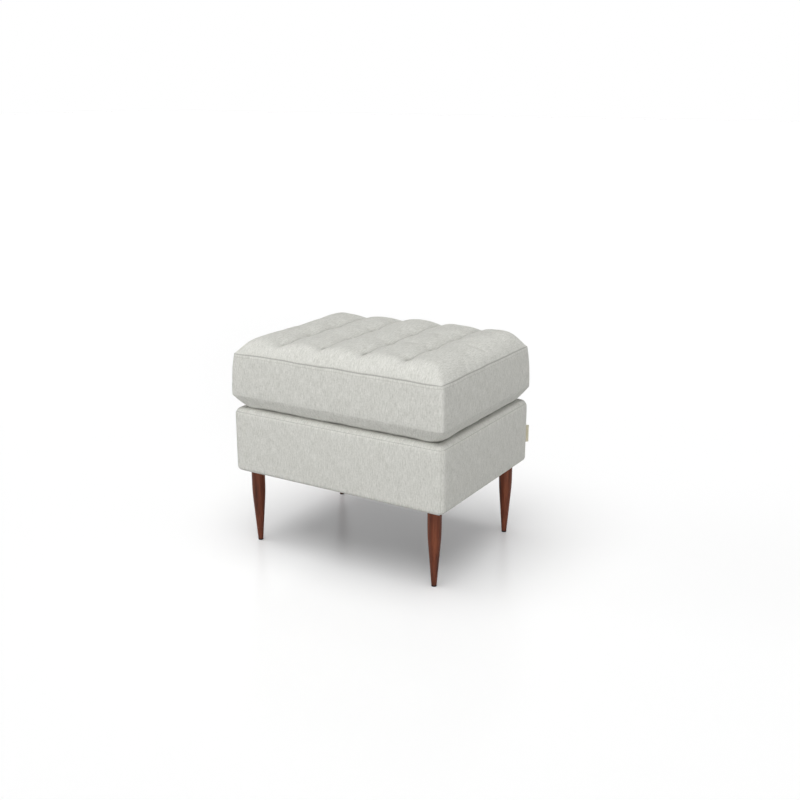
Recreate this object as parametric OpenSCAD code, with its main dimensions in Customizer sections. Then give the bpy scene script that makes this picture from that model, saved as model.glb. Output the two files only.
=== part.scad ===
// Ottoman: an upholstered box on four turned legs, with a loose tufted cushion on top.
// Millimetres, Z up, the wide front faces -Y, the origin is on the floor under the middle.

/* [Upholstered base] */
// Width of the base over its cloth, left to right
base_w = 560; // [460:1:900]
// Depth of the base over its cloth, front to back
base_d = 426; // [360:1:700]
// Height of the base from its underside to its top
base_h = 154; // [130:1:240]
// Height of the base's underside above the floor
base_lift = 184; // [130:1:260]
// Radius of the base's upright corners, seen from above
corner_r = 18; // [18:1:26]
// Radius of the padded top edge
edge_r = 17; // [11:1:17]
// Radius of the padded bottom edge
hem_r = 10; // [6:1:11]
// Thickness of the upholstery cloth
cloth_t = 1.5; // [1:0.1:2]
// Thickness of the padding on the outside of the rails
rail_pad_t = 10; // [6:1:12]
// Thickness of the foam pad under the platform cloth
deck_pad_t = 12.5; // [8:0.5:20]
// How far the seam below the top edge lies under the base's top
seam_drop = 9; // [6:0.5:10]
// How far the side cloth turns in under the rails
hem_turn = 30; // [26:1:32]
// Width of the cloth border round the platform cloth, from the base's side
border_w = 60; // [40:1:90]
// Width of the soft roll along the top edge, from the base's side
roll_w = 45; // [32:1:55]
// Thickness of the black dust cover under the base
dust_t = 0.6; // [0.4:0.1:1]
// How far the dust cover stays in from the base's sides
dust_inset = 14; // [12:1:18]

/* [Timber frame] */
// Thickness of the four rails
rail_t = 19; // [16:1:25]
// Length of the corner blocks' two glued faces
block_side = 70; // [64:1:90]
// Width of the corner blocks' short end faces
block_nose = 20; // [14:1:30]
// Height of the corner blocks
block_h = 60; // [50:1:90]
// Diameter of the dowels in the corner joints
dowel_d = 8; // [6:1:10]
// How deep each dowel reaches into the end of a side rail
dowel_in_side = 24; // [16:1:34]
// How deep each dowel reaches into the front or back rail
dowel_in_face = 13; // [8:1:15]

/* [Webbing] */
// Width of each strap
strap_w = 50; // [40:1:60]
// Thickness of each strap
strap_t = 1.5; // [1:0.1:2]

/* [Legs] */
// Diameter of a leg's upper part
leg_top_d = 31.5; // [24:0.5:36]
// Diameter of a leg where it meets its glide
leg_tip_d = 12; // [9:0.5:16]
// Length of a leg's straight upper part, under its plate
leg_round_l = 56; // [40:1:70]
// Length over which the straight part eases into the taper
leg_ease_l = 40; // [10:1:60]
// Distance of each leg's axis from the two nearest sides of the base
leg_inset = 38.5; // [37:0.5:44]
// Side of the square steel plate above each leg
plate_side = 50; // [44:1:56]
// Thickness of the leg plates
plate_t = 2.5; // [2:0.1:4]
// Diameter of the hanger bolt
bolt_d = 8; // [6:1:8]
// Length of the hanger bolt that is screwed into the leg
bolt_in_leg = 28; // [20:1:40]
// Length of the threaded sleeve on each plate
sleeve_l = 14; // [10:1:20]
// Wall of the threaded sleeve
sleeve_wall = 1.5; // [1.2:0.1:2]
// Height of the glide under each leg
glide_h = 3; // [2:0.5:5]

/* [Fasteners] */
// Diameter of the plate screws' shanks
screw_d = 4; // [3:0.5:4.5]
// Length of the plate screws under their heads
screw_l = 22; // [16:1:30]
// Distance of the plate screws from the middle of the plate, along each side
screw_offset = 18; // [17:0.5:19]
// Width of a staple's crown
staple_w = 10; // [8:1:12]
// Thickness of the staple wire
staple_t = 0.6; // [0.5:0.1:0.8]
// Length of a staple's legs
staple_l = 9; // [6:1:12]

/* [Cushion] */
// Greatest width of the cushion, left to right
cushion_w = 562; // [460:1:900]
// Greatest depth of the cushion, front to back
cushion_d = 430; // [360:1:700]
// Height of the side bands between their two seams
band_h = 98; // [80:1:140]
// Height of the sloping underside below the bottom seam
under_h = 32; // [16:1:45]
// How far the underside slopes in before it lies flat
under_in = 24; // [18:1:32]
// How far the slope of the underside swells out from a straight line
under_swell = 2; // [0:0.5:4]
// Height of the crown above the top seam, at the crests
crown_h = 41; // [28:1:60]
// Distance over which the crown rises from the seam
crown_rise = 60; // [45:1:75]
// How far the sides draw in from their middle to the seams
seam_draw = 2.5; // [1:0.5:4]
// Radius of the cushion's upright corners
cushion_r = 14; // [11:1:20]

/* [Tufting] */
// Number of tufts left to right
tuft_cols = 4; // [2:1:6]
// Number of tufts front to back
tuft_rows = 4; // [2:1:6]
// Distance of the outer tufts from the cushion's left and right sides
tuft_edge_x = 117.5; // [90:0.5:150]
// Distance of the outer tufts from the cushion's front and back
tuft_edge_y = 62; // [58:0.5:90]
// Depth of the channels that run front to back
channel_depth = 4.5; // [2:0.5:7]
// Depth of the shallow folds that run left to right
fold_depth = 2; // [0.5:0.5:5]
// Further depth of the dimple at each tuft
dimple_depth = 4; // [1:0.5:6]
// Diameter of the tufting twine
twine_d = 1.6; // [1:0.1:2.5]
// Diameter of the discs that hold the twine under the foam
anchor_d = 18; // [12:1:26]
// Thickness of those discs
anchor_t = 1.5; // [1:0.1:3]

/* [Cushion filling] */
// Thickness of the fibre belt between the side bands and the foam
belt_t = 12; // [10:1:15]

/* [Zip] */
// Distance of each end of the tooth rows from the side of the cushion
zip_inset = 61; // [45:1:120]
// Width of the opening between the two halves of the back band
zip_gap = 12; // [11:1:16]
// Width of a tooth row
tooth_w = 2.2; // [1.6:0.1:2.4]
// Thickness of a tooth row
tooth_t = 2.2; // [2:0.1:2.8]
// Width of each zip tape
tape_w = 14; // [11:1:18]
// Thickness of the zip tapes
tape_t = 0.8; // [0.5:0.1:1]
// Length of the slider
slider_l = 10; // [8:0.5:14]
// Thickness of the slider's two plates
slider_t = 1.2; // [1:0.1:1.6]
// Length of the pull below its eye
pull_l = 24; // [16:1:34]
// Width of the pull
pull_w = 5; // [4:0.5:5]

/* [Side tag] */
// Height of the bare cloth tag in the corner seam
tag_h = 42; // [20:1:60]
// How far the tag stands out of the seam
tag_out = 8; // [5:0.5:10]
// Height of the tag's lower end above the base's underside
tag_lift = 46; // [20:1:70]

/* [Hidden] */
$fn = 64;
fine = 0.3;             // gap that keeps two soft or moving surfaces apart
snug = 0.05;            // gap round a shank, dowel or bolt in its hole

// Heights of the base's layers, from the floor up
base_top = base_lift + base_h;
rail_z = base_lift + cloth_t;
rail_top = base_top - cloth_t - deck_pad_t - 2 * strap_t;
roll_z = rail_top + strap_t + staple_t + snug;
seam_z = base_top - seam_drop;
dust_z = base_lift - dust_t;
plate_z = dust_z - plate_t;

// Insets from the base's sides
frame_inset = cloth_t + rail_pad_t;
inner_inset = frame_inset + rail_t;
rail_mid_inset = frame_inset + rail_t / 2;
strap_end_gap = 3;

axis_gap = 1;           // the panels' swept corners stop this short of their axis

// Webbing: the nodes name three long and four cross straps
long_straps = 3;
cross_straps = 4;
ramp_start = 8;         // where a strap starts to climb, from the edge of the strap it crosses
ramp_end = 1;
long_half = base_w / 2 - frame_inset - strap_end_gap;
cross_half = base_d / 2 - frame_inset - strap_end_gap;
long_pitch = (base_d - 2 * inner_inset) / long_straps;
cross_pitch = (base_w - 2 * inner_inset) / cross_straps;
long_places = [for (i = [0 : long_straps - 1]) (i - (long_straps - 1) / 2) * long_pitch];
cross_places = [for (i = [0 : cross_straps - 1]) (i - (cross_straps - 1) / 2) * cross_pitch];

// Legs and their hardware
leg_x = base_w / 2 - leg_inset;
leg_y = base_d / 2 - leg_inset;
leg_taper_z = plate_z - leg_round_l;
ease_steps = 4;
bolt_r = bolt_d / 2;
sleeve_r = bolt_r + snug + sleeve_wall;
sleeve_hole_r = sleeve_r + snug;
screw_head_d = 2 * screw_d;
screw_head_t = screw_d / 2;
glide_nail_d = 2.4;
glide_nail_l = 12;
glide_round = 1;

// Dowels and staples
dowel_low = 0.28;
dowel_high = 0.72;
dowel_end_gap = 0.5;
strap_staple_offset = strap_w / 4;
dust_staples_w = 4;
dust_staples_d = 3;
dust_staple_spread = 2 / 3;

// Heights of the cushion's layers
cushion_z = base_top;
low_seam_z = cushion_z + under_h;
top_seam_z = low_seam_z + band_h;
band_mid_z = low_seam_z + band_h / 2;
seam_w = cushion_w - 2 * seam_draw;
seam_d = cushion_d - 2 * seam_draw;
seam_r = cushion_r - seam_draw;
band_bow_r = (pow(band_h / 2, 2) + pow(seam_draw, 2)) / (2 * seam_draw);
bow_facets = 360;
crown_power = 3.5;
under_corner_r = 2;
under_corner_steps = 3;

// Tufts, spread evenly between the outer ones
tuft_pitch_x = (cushion_w - 2 * tuft_edge_x) / (tuft_cols - 1);
tuft_pitch_y = (cushion_d - 2 * tuft_edge_y) / (tuft_rows - 1);

// Grid of the tufted top: quarter pitches over the lobes, then closer lines to the seam
grid_per_pitch = 4;
edge_lines = 3;
edge_crowding = 1.6;

// Filling
core_inset = seam_draw + cloth_t + fine + belt_t + fine;
core_low_inset = seam_draw + under_in + 2 * cloth_t + fine;
core_low_z = cushion_z + cloth_t + fine;
wadding_inset = cloth_t + seam_r / 2;
wadding_slope_in = 10;
wadding_drop = 4 * cloth_t;     // more than the cloth's thickness, because the cloth slopes

// Zip: the rows lie in the middle of the back band, and the slider runs along them
zip_l = cushion_w - 2 * zip_inset;
row_gap = 1.2;
tape_far_z = row_gap / 2 + tooth_w + tape_w;
bow_at_tape = pow(tape_far_z, 2) / (2 * band_bow_r);
zip_y = cushion_d / 2 - cloth_t - bow_at_tape - fine - tape_t / 2;
row_face_y = zip_y + tooth_t / 2;
neck_t = row_gap - 2 * fine;
slider_flange = 0.9;
slider_half_h = row_gap / 2 + tooth_w + fine + slider_flange;
slider_face_y = row_face_y + fine + slider_t;
stop_l = 2;
bar_d = 1.4;
bar_gap = 0.1;
eye_d = 4;
eye_w = 3.4;
bar_y = slider_face_y + eye_d / 2 + fine;
post_w = bar_d;
bar_half = eye_w / 2 + fine + post_w;
slider_home_x = -(zip_l / 2 - slider_l / 2 - fine);
zip_recess = 2 * (tooth_t / 2 + fine + slider_t) + 2 * fine;

// Tag
tag_t = 1.2;

cloth_color = [0.82, 0.82, 0.79];
wood_color = [0.30, 0.16, 0.10];
timber_color = [0.80, 0.66, 0.46];
foam_color = [0.93, 0.89, 0.72];
fibre_color = [0.95, 0.95, 0.93];
webbing_color = [0.72, 0.60, 0.42];
steel_color = [0.62, 0.63, 0.65];
black_color = [0.10, 0.10, 0.11];
tape_color = [0.70, 0.70, 0.67];

BACK = 0;
LEFT = 1;
FRONT = 2;
RIGHT = 3;

CORNERS = [[-1, -1], [1, -1], [-1, 1], [1, 1]];

// Puts a piece that is drawn on the back side, reaching out to y = 0, on any side of a box
module on_side(side, w, d) {
    out = side % 2 == 0 ? d / 2 : w / 2;
    rotate([0, 0, 90 * side])
        translate([0, out, 0])
            children();
}

function side_length(side, w, d) = side % 2 == 0 ? w : d;

// Sweeps a side profile along one side, between its corners.
// In the profile x = 0 is the outer face, negative x is inward and y is height.
module straight_sweep(length, r) {
    rotate([90, 0, 90])
        linear_extrude(length - 2 * r, center = true)
            children();
}

// Sweeps a side profile half-way round both corners of a side
module corner_sweeps(length, r) {
    for (end = [0, 1])
        mirror([end, 0, 0])
            translate([length / 2 - r, -r, 0])
                rotate([0, 0, 45])
                    rotate_extrude(angle = 45)
                        translate([r, 0])
                            children();
}

module side_strip(length, r) {
    straight_sweep(length, r)
        children();
    corner_sweeps(length, r)
        children();
}

// Sweeps a side profile round all four sides
module ring_strip(w, d, r) {
    for (side = [BACK, LEFT, FRONT, RIGHT])
        on_side(side, w, d)
            side_strip(side_length(side, w, d), r)
                children();
}

// The outer part of the base's cross-section, drawn in from its face by an inset
module base_section(inset, depth = corner_r) {
    translate([-depth, base_lift + hem_r])
        square([depth - inset, base_h - hem_r - edge_r]);
    translate([-depth, base_lift + hem_r])
        square([depth - edge_r, base_h - hem_r - inset]);
    translate([-depth, base_lift + inset])
        square([depth - hem_r, base_h - edge_r - inset]);
    translate([-edge_r, base_top - edge_r])
        circle(edge_r - inset);
    translate([-hem_r, base_lift + hem_r])
        circle(hem_r - inset);
}

// The cloth's thickness in that cross-section
module cloth_section(depth = corner_r) {
    difference() {
        base_section(0, depth);
        base_section(cloth_t, depth);
    }
}

// Keeps what lies between two heights of a side profile, down to a depth from its face
module between(low, high, reach = corner_r) {
    intersection() {
        children();
        translate([-reach, low])
            square([reach, high - low]);
    }
}

// A rail: its butt ends stand on the frame's outline, with holes for what is driven into it
module rail(side) {
    outer_w = base_w - 2 * frame_inset;
    outer_d = base_d - 2 * frame_inset;
    length = side % 2 == 0 ? outer_w : outer_d - 2 * rail_t;
    difference() {
        on_side(side, outer_w, outer_d)
            translate([-length / 2, -rail_t, rail_z])
                cube([length, rail_t, rail_top - rail_z]);
        dowels(snug);
        sleeve_holes();
        plate_screw_shanks(snug);
        strap_staples(snug);
        dust_staples(snug);
    }
}

module front_rail() {
    color(timber_color)
        rail(FRONT);
}

module back_rail() {
    color(timber_color)
        rail(BACK);
}

module left_rail() {
    color(timber_color)
        rail(LEFT);
}

module right_rail() {
    color(timber_color)
        rail(RIGHT);
}

// Two dowels in each corner joint, or the holes for them
module dowels(gap) {
    rail_height = rail_top - rail_z;
    joint_y = base_d / 2 - inner_inset;
    ends = gap > 0 ? dowel_end_gap : 0;
    for (corner = CORNERS)
        for (level = [dowel_low, dowel_high])
            translate([
                corner[0] * (base_w / 2 - rail_mid_inset),
                corner[1] * (joint_y - dowel_in_side - ends),
                rail_z + level * rail_height
            ])
                rotate([-90 * corner[1], 0, 0])
                    cylinder(d = dowel_d + 2 * gap, h = dowel_in_side + dowel_in_face + 2 * ends);
}

module frame_dowels() {
    color(timber_color)
        dowels(0);
}

// A block glued into a corner of the frame, drilled for the plate's sleeve and screws
module corner_block(corner) {
    nose = block_nose;
    color(timber_color)
        difference() {
            mirror([corner[0] > 0 ? 0 : 1, 0, 0])
                mirror([0, corner[1] > 0 ? 0 : 1, 0])
                    translate([base_w / 2 - inner_inset, base_d / 2 - inner_inset, rail_z])
                        linear_extrude(block_h)
                            polygon([
                                [0, 0],
                                [-block_side, 0],
                                [-block_side, -nose],
                                [-nose, -block_side],
                                [0, -block_side]
                            ]);
            sleeve_holes();
            plate_screw_shanks(snug);
        }
}

module sleeve_holes() {
    for (corner = CORNERS)
        at_leg(corner)
            translate([0, 0, plate_z])
                cylinder(r = sleeve_hole_r, h = plate_t + sleeve_l + bolt_r + dust_t + cloth_t);
}

// Places a piece on the axis of a leg
module at_leg(corner) {
    translate([corner[0] * leg_x, corner[1] * leg_y, 0])
        children();
}

// A woven strap's height above the rails: it climbs over every second strap that it crosses
function strap_line(crossings, first_up, half) = [
    [-half, 0],
    for (i = [0 : len(crossings) - 1])
        if ((i + first_up) % 2 == 0)
            for (step = [[-1, 0], [-1, 1], [1, 1], [1, 0]])
                let (beyond = step[1] > 0 ? ramp_end : ramp_start)
                [crossings[i] + step[0] * (strap_w / 2 + beyond), step[1] * strap_t],
    [half, 0]
];

// One strap, drawn along X
module strap(crossings, first_up, half) {
    low = strap_line(crossings, first_up, half);
    high = [for (i = [len(low) - 1 : -1 : 0]) low[i] + [0, strap_t]];
    translate([0, 0, rail_top])
        rotate([90, 0, 0])
            linear_extrude(strap_w, center = true)
                polygon(concat(low, high));
}

module long_strap(i) {
    color(webbing_color)
        difference() {
            translate([0, long_places[i], 0])
                strap(cross_places, i, long_half);
            strap_staples(snug);
        }
}

module cross_strap(i) {
    color(webbing_color)
        difference() {
            translate([cross_places[i], 0, 0])
                rotate([0, 0, 90])
                    strap(long_places, i + 1, cross_half);
            strap_staples(snug);
        }
}

// A staple with its crown along X and its legs pointing down from z = 0, or the cut for it
module staple(gap) {
    wire = staple_t + 2 * gap;
    if (gap == 0)
        translate([-staple_w / 2, -staple_t / 2, 0])
            cube([staple_w, staple_t, staple_t]);
    for (end = [-1, 1])
        translate([end * (staple_w - staple_t) / 2 - wire / 2, -wire / 2, -staple_l - gap])
            cube([wire, wire, staple_l + gap + (gap > 0 ? staple_t : 0)]);
}

// Two staples across each end of each strap
module strap_staples(gap) {
    crown_z = rail_top + strap_t;
    for (end = [-1, 1])
        for (offset = [-strap_staple_offset, strap_staple_offset]) {
            for (y = long_places)
                translate([end * (base_w / 2 - rail_mid_inset), y + offset, crown_z])
                    rotate([0, 0, 90])
                        staple(gap);
            for (x = cross_places)
                translate([x + offset, end * (base_d / 2 - rail_mid_inset), crown_z])
                    staple(gap);
        }
}

// Staples through the dust cover into the undersides of the rails
module dust_staples(gap) {
    for (end = [-1, 1]) {
        for (i = [0 : dust_staples_w - 1])
            translate([
                (i - (dust_staples_w - 1) / 2) * cross_pitch * dust_staple_spread,
                end * (base_d / 2 - rail_mid_inset),
                dust_z
            ])
                mirror([0, 0, 1])
                    staple(gap);
        for (i = [0 : dust_staples_d - 1])
            translate([
                end * (base_w / 2 - rail_mid_inset),
                (i - (dust_staples_d - 1) / 2) * long_pitch * dust_staple_spread,
                dust_z
            ])
                rotate([0, 0, 90])
                    mirror([0, 0, 1])
                        staple(gap);
    }
}

// Padding that is wrapped round the outside of the rails
module rail_padding() {
    color(fibre_color)
        difference() {
            ring_strip(base_w, base_d, corner_r)
                between(base_lift, roll_z)
                    base_section(cloth_t);
            translate([-base_w / 2 + frame_inset, -base_d / 2 + frame_inset, base_lift])
                cube([base_w - 2 * frame_inset, base_d - 2 * frame_inset, base_h]);
        }
}

// The soft roll that rounds the top edge
module edge_roll() {
    flat_top = base_top - cloth_t;
    color(foam_color) {
        ring_strip(base_w, base_d, corner_r)
            between(roll_z, base_top)
                base_section(cloth_t);
        translate([0, 0, roll_z])
            linear_extrude(flat_top - roll_z)
                difference() {
                    square([base_w - 2 * corner_r, base_d - 2 * corner_r], center = true);
                    square([base_w - 2 * roll_w, base_d - 2 * roll_w], center = true);
                }
    }
}

// The foam pad between the webbing and the platform cloth
module deck_pad() {
    w = base_w - 2 * roll_w - 2 * fine;
    d = base_d - 2 * roll_w - 2 * fine;
    color(foam_color)
        translate([-w / 2, -d / 2, rail_top + 2 * strap_t])
            cube([w, d, deck_pad_t]);
}

// The plain lining cloth that the cushion lies on
module platform_cloth() {
    color(tape_color)
        translate([-base_w / 2 + border_w, -base_d / 2 + border_w, base_top - cloth_t])
            cube([base_w - 2 * border_w, base_d - 2 * border_w, cloth_t]);
}

// The cloth over the top edge, from the side seam to the platform cloth
module top_border() {
    color(cloth_color) {
        ring_strip(base_w, base_d, corner_r)
            between(seam_z, base_top)
                cloth_section();
        translate([0, 0, base_top - cloth_t])
            linear_extrude(cloth_t)
                difference() {
                    square([base_w - 2 * corner_r, base_d - 2 * corner_r], center = true);
                    square([base_w - 2 * border_w, base_d - 2 * border_w], center = true);
                }
    }
}

// Cuts that mitre the flap under the rails, from the axis of each corner inwards
module flap_mitres(length) {
    for (end = [0, 1])
        mirror([end, 0, 0])
            translate([length / 2 - corner_r, -corner_r, base_lift - cloth_t])
                linear_extrude(3 * cloth_t)
                    polygon([[0, 0], [-hem_turn, -hem_turn], [hem_turn, -hem_turn]]);
}

// One side of the base's cloth, from the side seam down and in under the rail
module base_panel(side) {
    length = side_length(side, base_w, base_d);
    color(cloth_color)
        difference() {
            on_side(side, base_w, base_d)
                difference() {
                    union() {
                        straight_sweep(length, corner_r)
                            between(base_lift, seam_z, hem_turn)
                                cloth_section(hem_turn);
                        corner_sweeps(length, corner_r)
                            between(base_lift, seam_z, corner_r - axis_gap)
                                cloth_section();
                    }
                    flap_mitres(length);
                }
            sleeve_holes();
            plate_screw_shanks(snug);
            dust_staples(snug);
            tag_blank(snug);
        }
}

module front_panel() {
    base_panel(FRONT);
}

module back_panel() {
    base_panel(BACK);
}

module left_panel() {
    base_panel(LEFT);
}

module right_panel() {
    base_panel(RIGHT);
}

// The tag's outline, held in the seam between the back and right panels
module tag_blank(gap) {
    thickness = tag_t + 2 * gap;
    translate([base_w / 2 - corner_r, base_d / 2 - corner_r, base_lift + tag_lift - gap])
        rotate([0, 0, 45])
            translate([corner_r - cloth_t - gap, -thickness / 2, 0])
                cube([cloth_t + tag_out + gap, thickness, tag_h + 2 * gap]);
}

module side_tag() {
    color(tape_color)
        tag_blank(0);
}

// The black cloth that closes the underside
module dust_cover() {
    w = base_w - 2 * dust_inset;
    d = base_d - 2 * dust_inset;
    color(black_color)
        difference() {
            translate([-w / 2, -d / 2, dust_z])
                cube([w, d, dust_t]);
            sleeve_holes();
            plate_screw_shanks(snug);
            dust_staples(snug);
        }
}

module dust_cover_staples() {
    color(steel_color)
        dust_staples(0);
}

// The steel plate above a leg, with a threaded sleeve and four screw holes
module leg_plate(corner) {
    color(steel_color)
        difference() {
            at_leg(corner) {
                translate([-plate_side / 2, -plate_side / 2, plate_z])
                    cube([plate_side, plate_side, plate_t]);
                translate([0, 0, plate_z])
                    cylinder(r = sleeve_r, h = plate_t + sleeve_l);
            }
            at_leg(corner)
                translate([0, 0, plate_z - plate_t])
                    cylinder(r = bolt_r + snug, h = sleeve_l + 3 * plate_t);
            plate_screw_shanks(snug);
        }
}

// The shanks of the sixteen plate screws, or the holes for them
module plate_screw_shanks(gap) {
    start = gap > 0 ? plate_t : 0;
    for (corner = CORNERS)
        at_leg(corner)
            for (place = CORNERS)
                translate([place[0] * screw_offset, place[1] * screw_offset, plate_z - start])
                    cylinder(d = screw_d + 2 * gap, h = screw_l + start + gap);
}

module plate_screws() {
    color(steel_color) {
        plate_screw_shanks(0);
        for (corner = CORNERS)
            at_leg(corner)
                for (place = CORNERS)
                    translate([place[0] * screw_offset, place[1] * screw_offset, plate_z - screw_head_t])
                        cylinder(d1 = screw_d, d2 = screw_head_d, h = screw_head_t);
    }
}

module hanger_bolts() {
    color(steel_color)
        for (corner = CORNERS)
            at_leg(corner)
                translate([0, 0, plate_z - bolt_in_leg])
                    cylinder(r = bolt_r, h = bolt_in_leg + plate_t + sleeve_l);
}

// Profile points where the taper eases into the round upper part, on a parabola that
// runs on from both
function leg_ease() =
    let (slope = (leg_top_d - leg_tip_d) / 2 / (leg_taper_z - glide_h))
    let (high = leg_taper_z + leg_ease_l / 2)
    [
        for (i = [0 : ease_steps])
            let (down = leg_ease_l * (1 - i / ease_steps))
            [leg_top_d / 2 - slope * pow(down, 2) / (2 * leg_ease_l), high - down]
    ];

// A turned leg, drilled at the top for the hanger bolt and at the tip for the glide's nail
module leg(corner) {
    color(wood_color)
        at_leg(corner)
            difference() {
                rotate_extrude()
                    polygon(concat(
                        [[0, glide_h], [leg_tip_d / 2, glide_h]],
                        leg_ease(),
                        [[leg_top_d / 2, plate_z], [0, plate_z]]
                    ));
                translate([0, 0, plate_z - bolt_in_leg - snug])
                    cylinder(r = bolt_r + snug, h = bolt_in_leg + plate_t);
                translate([0, 0, -glide_h])
                    cylinder(d = glide_nail_d + 2 * snug, h = 2 * glide_h + glide_nail_l + snug);
            }
}

// A hard glide with a nail, under the tip of a leg
module glide(corner) {
    r = leg_tip_d / 2;
    color(black_color)
        at_leg(corner) {
            cylinder(r1 = r - glide_round, r2 = r, h = glide_round);
            translate([0, 0, glide_round])
                cylinder(r = r, h = glide_h - glide_round);
            translate([0, 0, glide_round])
                cylinder(d = glide_nail_d, h = glide_h - glide_round + glide_nail_l);
        }
}

// The side band's cross-section: it swells out to x = 0 half-way up
module band_section() {
    intersection() {
        difference() {
            translate([-band_bow_r, band_mid_z])
                circle(band_bow_r, $fn = bow_facets);
            translate([-band_bow_r - cloth_t, band_mid_z])
                circle(band_bow_r, $fn = bow_facets);
        }
        translate([-cushion_r, low_seam_z])
            square([cushion_r, band_h]);
    }
}

module cushion_band(side, low, high) {
    color(cloth_color)
        on_side(side, cushion_w, cushion_d)
            side_strip(side_length(side, cushion_w, cushion_d), cushion_r)
                intersection() {
                    band_section();
                    translate([-cushion_r, low])
                        square([cushion_r, high - low]);
                }
}

module cushion_front_band() {
    cushion_band(FRONT, low_seam_z, top_seam_z);
}

module cushion_left_band() {
    cushion_band(LEFT, low_seam_z, top_seam_z);
}

module cushion_right_band() {
    cushion_band(RIGHT, low_seam_z, top_seam_z);
}

// The upper half of the back band closes down to the lower half at both ends of the zip
module cushion_back_band_upper() {
    slot_w = zip_l + 2 * (stop_l + fine);
    color(cloth_color)
        difference() {
            cushion_band(BACK, band_mid_z - zip_gap / 2, top_seam_z);
            translate([-slot_w / 2, cushion_d / 2 - cushion_r, band_mid_z - zip_gap])
                cube([slot_w, 2 * cushion_r, 1.5 * zip_gap]);
        }
}

module cushion_back_band_lower() {
    cushion_band(BACK, low_seam_z, band_mid_z - zip_gap / 2);
}

// Lines of the top's grid on one half: quarter pitches, then lines that crowd to the seam
function half_lines(half, pitch, count) =
    let (lobe_end = min(half - crown_rise / 2, pitch * count / 2))
    let (steps = round(lobe_end / pitch * grid_per_pitch))
    concat(
        [for (i = [0 : steps]) lobe_end * i / steps],
        [for (i = [1 : edge_lines])
            half - (half - lobe_end) * pow(1 - i / edge_lines, edge_crowding)]
    );

function both_halves(lines) = concat(
    [for (i = [len(lines) - 1 : -1 : 1]) -lines[i]],
    lines
);

// How strongly a fold shows at a place: 1 in the fold's line, 0 on the crest between folds
function fold(place, pitch, count) =
    let (odd = count % 2 == 0 ? 90 : 0)
    let (last = pitch * count / 2)
    let (at = min(abs(place), last))
    1 - abs(sin(180 * at / pitch + odd));

function rise(gap) = 1 - pow(1 - min(1, gap / crown_rise), crown_power);

// Height of the tufted top above its seam
function top_height(x, y) =
    let (edge = rise(seam_w / 2 - abs(x)) * rise(seam_d / 2 - abs(y)))
    let (across = fold(x, tuft_pitch_x, tuft_cols))
    let (along = fold(y, tuft_pitch_y, tuft_rows))
    edge * (crown_h - channel_depth * across - fold_depth * along
        - dimple_depth * pow(across * along, 2));

// Rounds the corners of the grid: a square corner's points move onto arcs
function rounded(x, y) =
    let (dx = abs(x) - (seam_w / 2 - seam_r))
    let (dy = abs(y) - (seam_d / 2 - seam_r))
    dx <= 0 || dy <= 0
        ? [x, y]
        : let (pull = max(dx, dy) / norm([dx, dy]))
          [sign(x) * (seam_w / 2 - seam_r + dx * pull), sign(y) * (seam_d / 2 - seam_r + dy * pull)];

// A quilted sheet or pad over a grid: its top follows the tufts, and its bottom is a list of
// points that match the top's, row by row
module grid_solid(top, bottom, columns, rows) {
    count = columns * rows;
    edge = concat(
        [for (i = [0 : columns - 2]) i],
        [for (j = [0 : rows - 2]) j * columns + columns - 1],
        [for (i = [columns - 1 : -1 : 1]) (rows - 1) * columns + i],
        [for (j = [rows - 1 : -1 : 1]) j * columns]
    );
    upper = [
        for (j = [0 : rows - 2])
            for (i = [0 : columns - 2])
                let (a = j * columns + i)
                for (half = [[a, a + columns, a + 1], [a + 1, a + columns, a + columns + 1]])
                    half
    ];
    lower = [for (face = upper) [count + face[0], count + face[2], count + face[1]]];
    sides = [
        for (k = [0 : len(edge) - 1])
            let (a = edge[k])
            let (b = edge[(k + 1) % len(edge)])
            for (half = [[a, b, count + a], [b, count + b, count + a]])
                half
    ];
    polyhedron(concat(top, bottom), concat(upper, lower, sides), convexity = 8);
}

function on_rim(i, j, columns, rows) = i == 0 || j == 0 || i == columns - 1 || j == rows - 1;

// The tufted cloth panel on top of the cushion, down to its seam
module cushion_top() {
    xs = both_halves(half_lines(seam_w / 2, tuft_pitch_x, tuft_cols));
    ys = both_halves(half_lines(seam_d / 2, tuft_pitch_y, tuft_rows));
    columns = len(xs);
    rows = len(ys);
    shrink_x = (seam_w - 2 * cloth_t) / seam_w;
    shrink_y = (seam_d - 2 * cloth_t) / seam_d;
    top = [
        for (y = ys)
            for (x = xs)
                let (p = rounded(x, y))
                [p[0], p[1], top_seam_z + top_height(x, y)]
    ];
    bottom = [
        for (j = [0 : rows - 1])
            for (i = [0 : columns - 1])
                let (p = top[j * columns + i])
                let (drop = on_rim(i, j, columns, rows) ? 0 : cloth_t)
                [p[0] * shrink_x, p[1] * shrink_y, p[2] - drop]
    ];
    echo("cushion top triangles", 4 * (columns - 1) * (rows - 1) + 4 * (columns + rows - 2));
    color(cloth_color)
        grid_solid(top, bottom, columns, rows);
}

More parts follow.
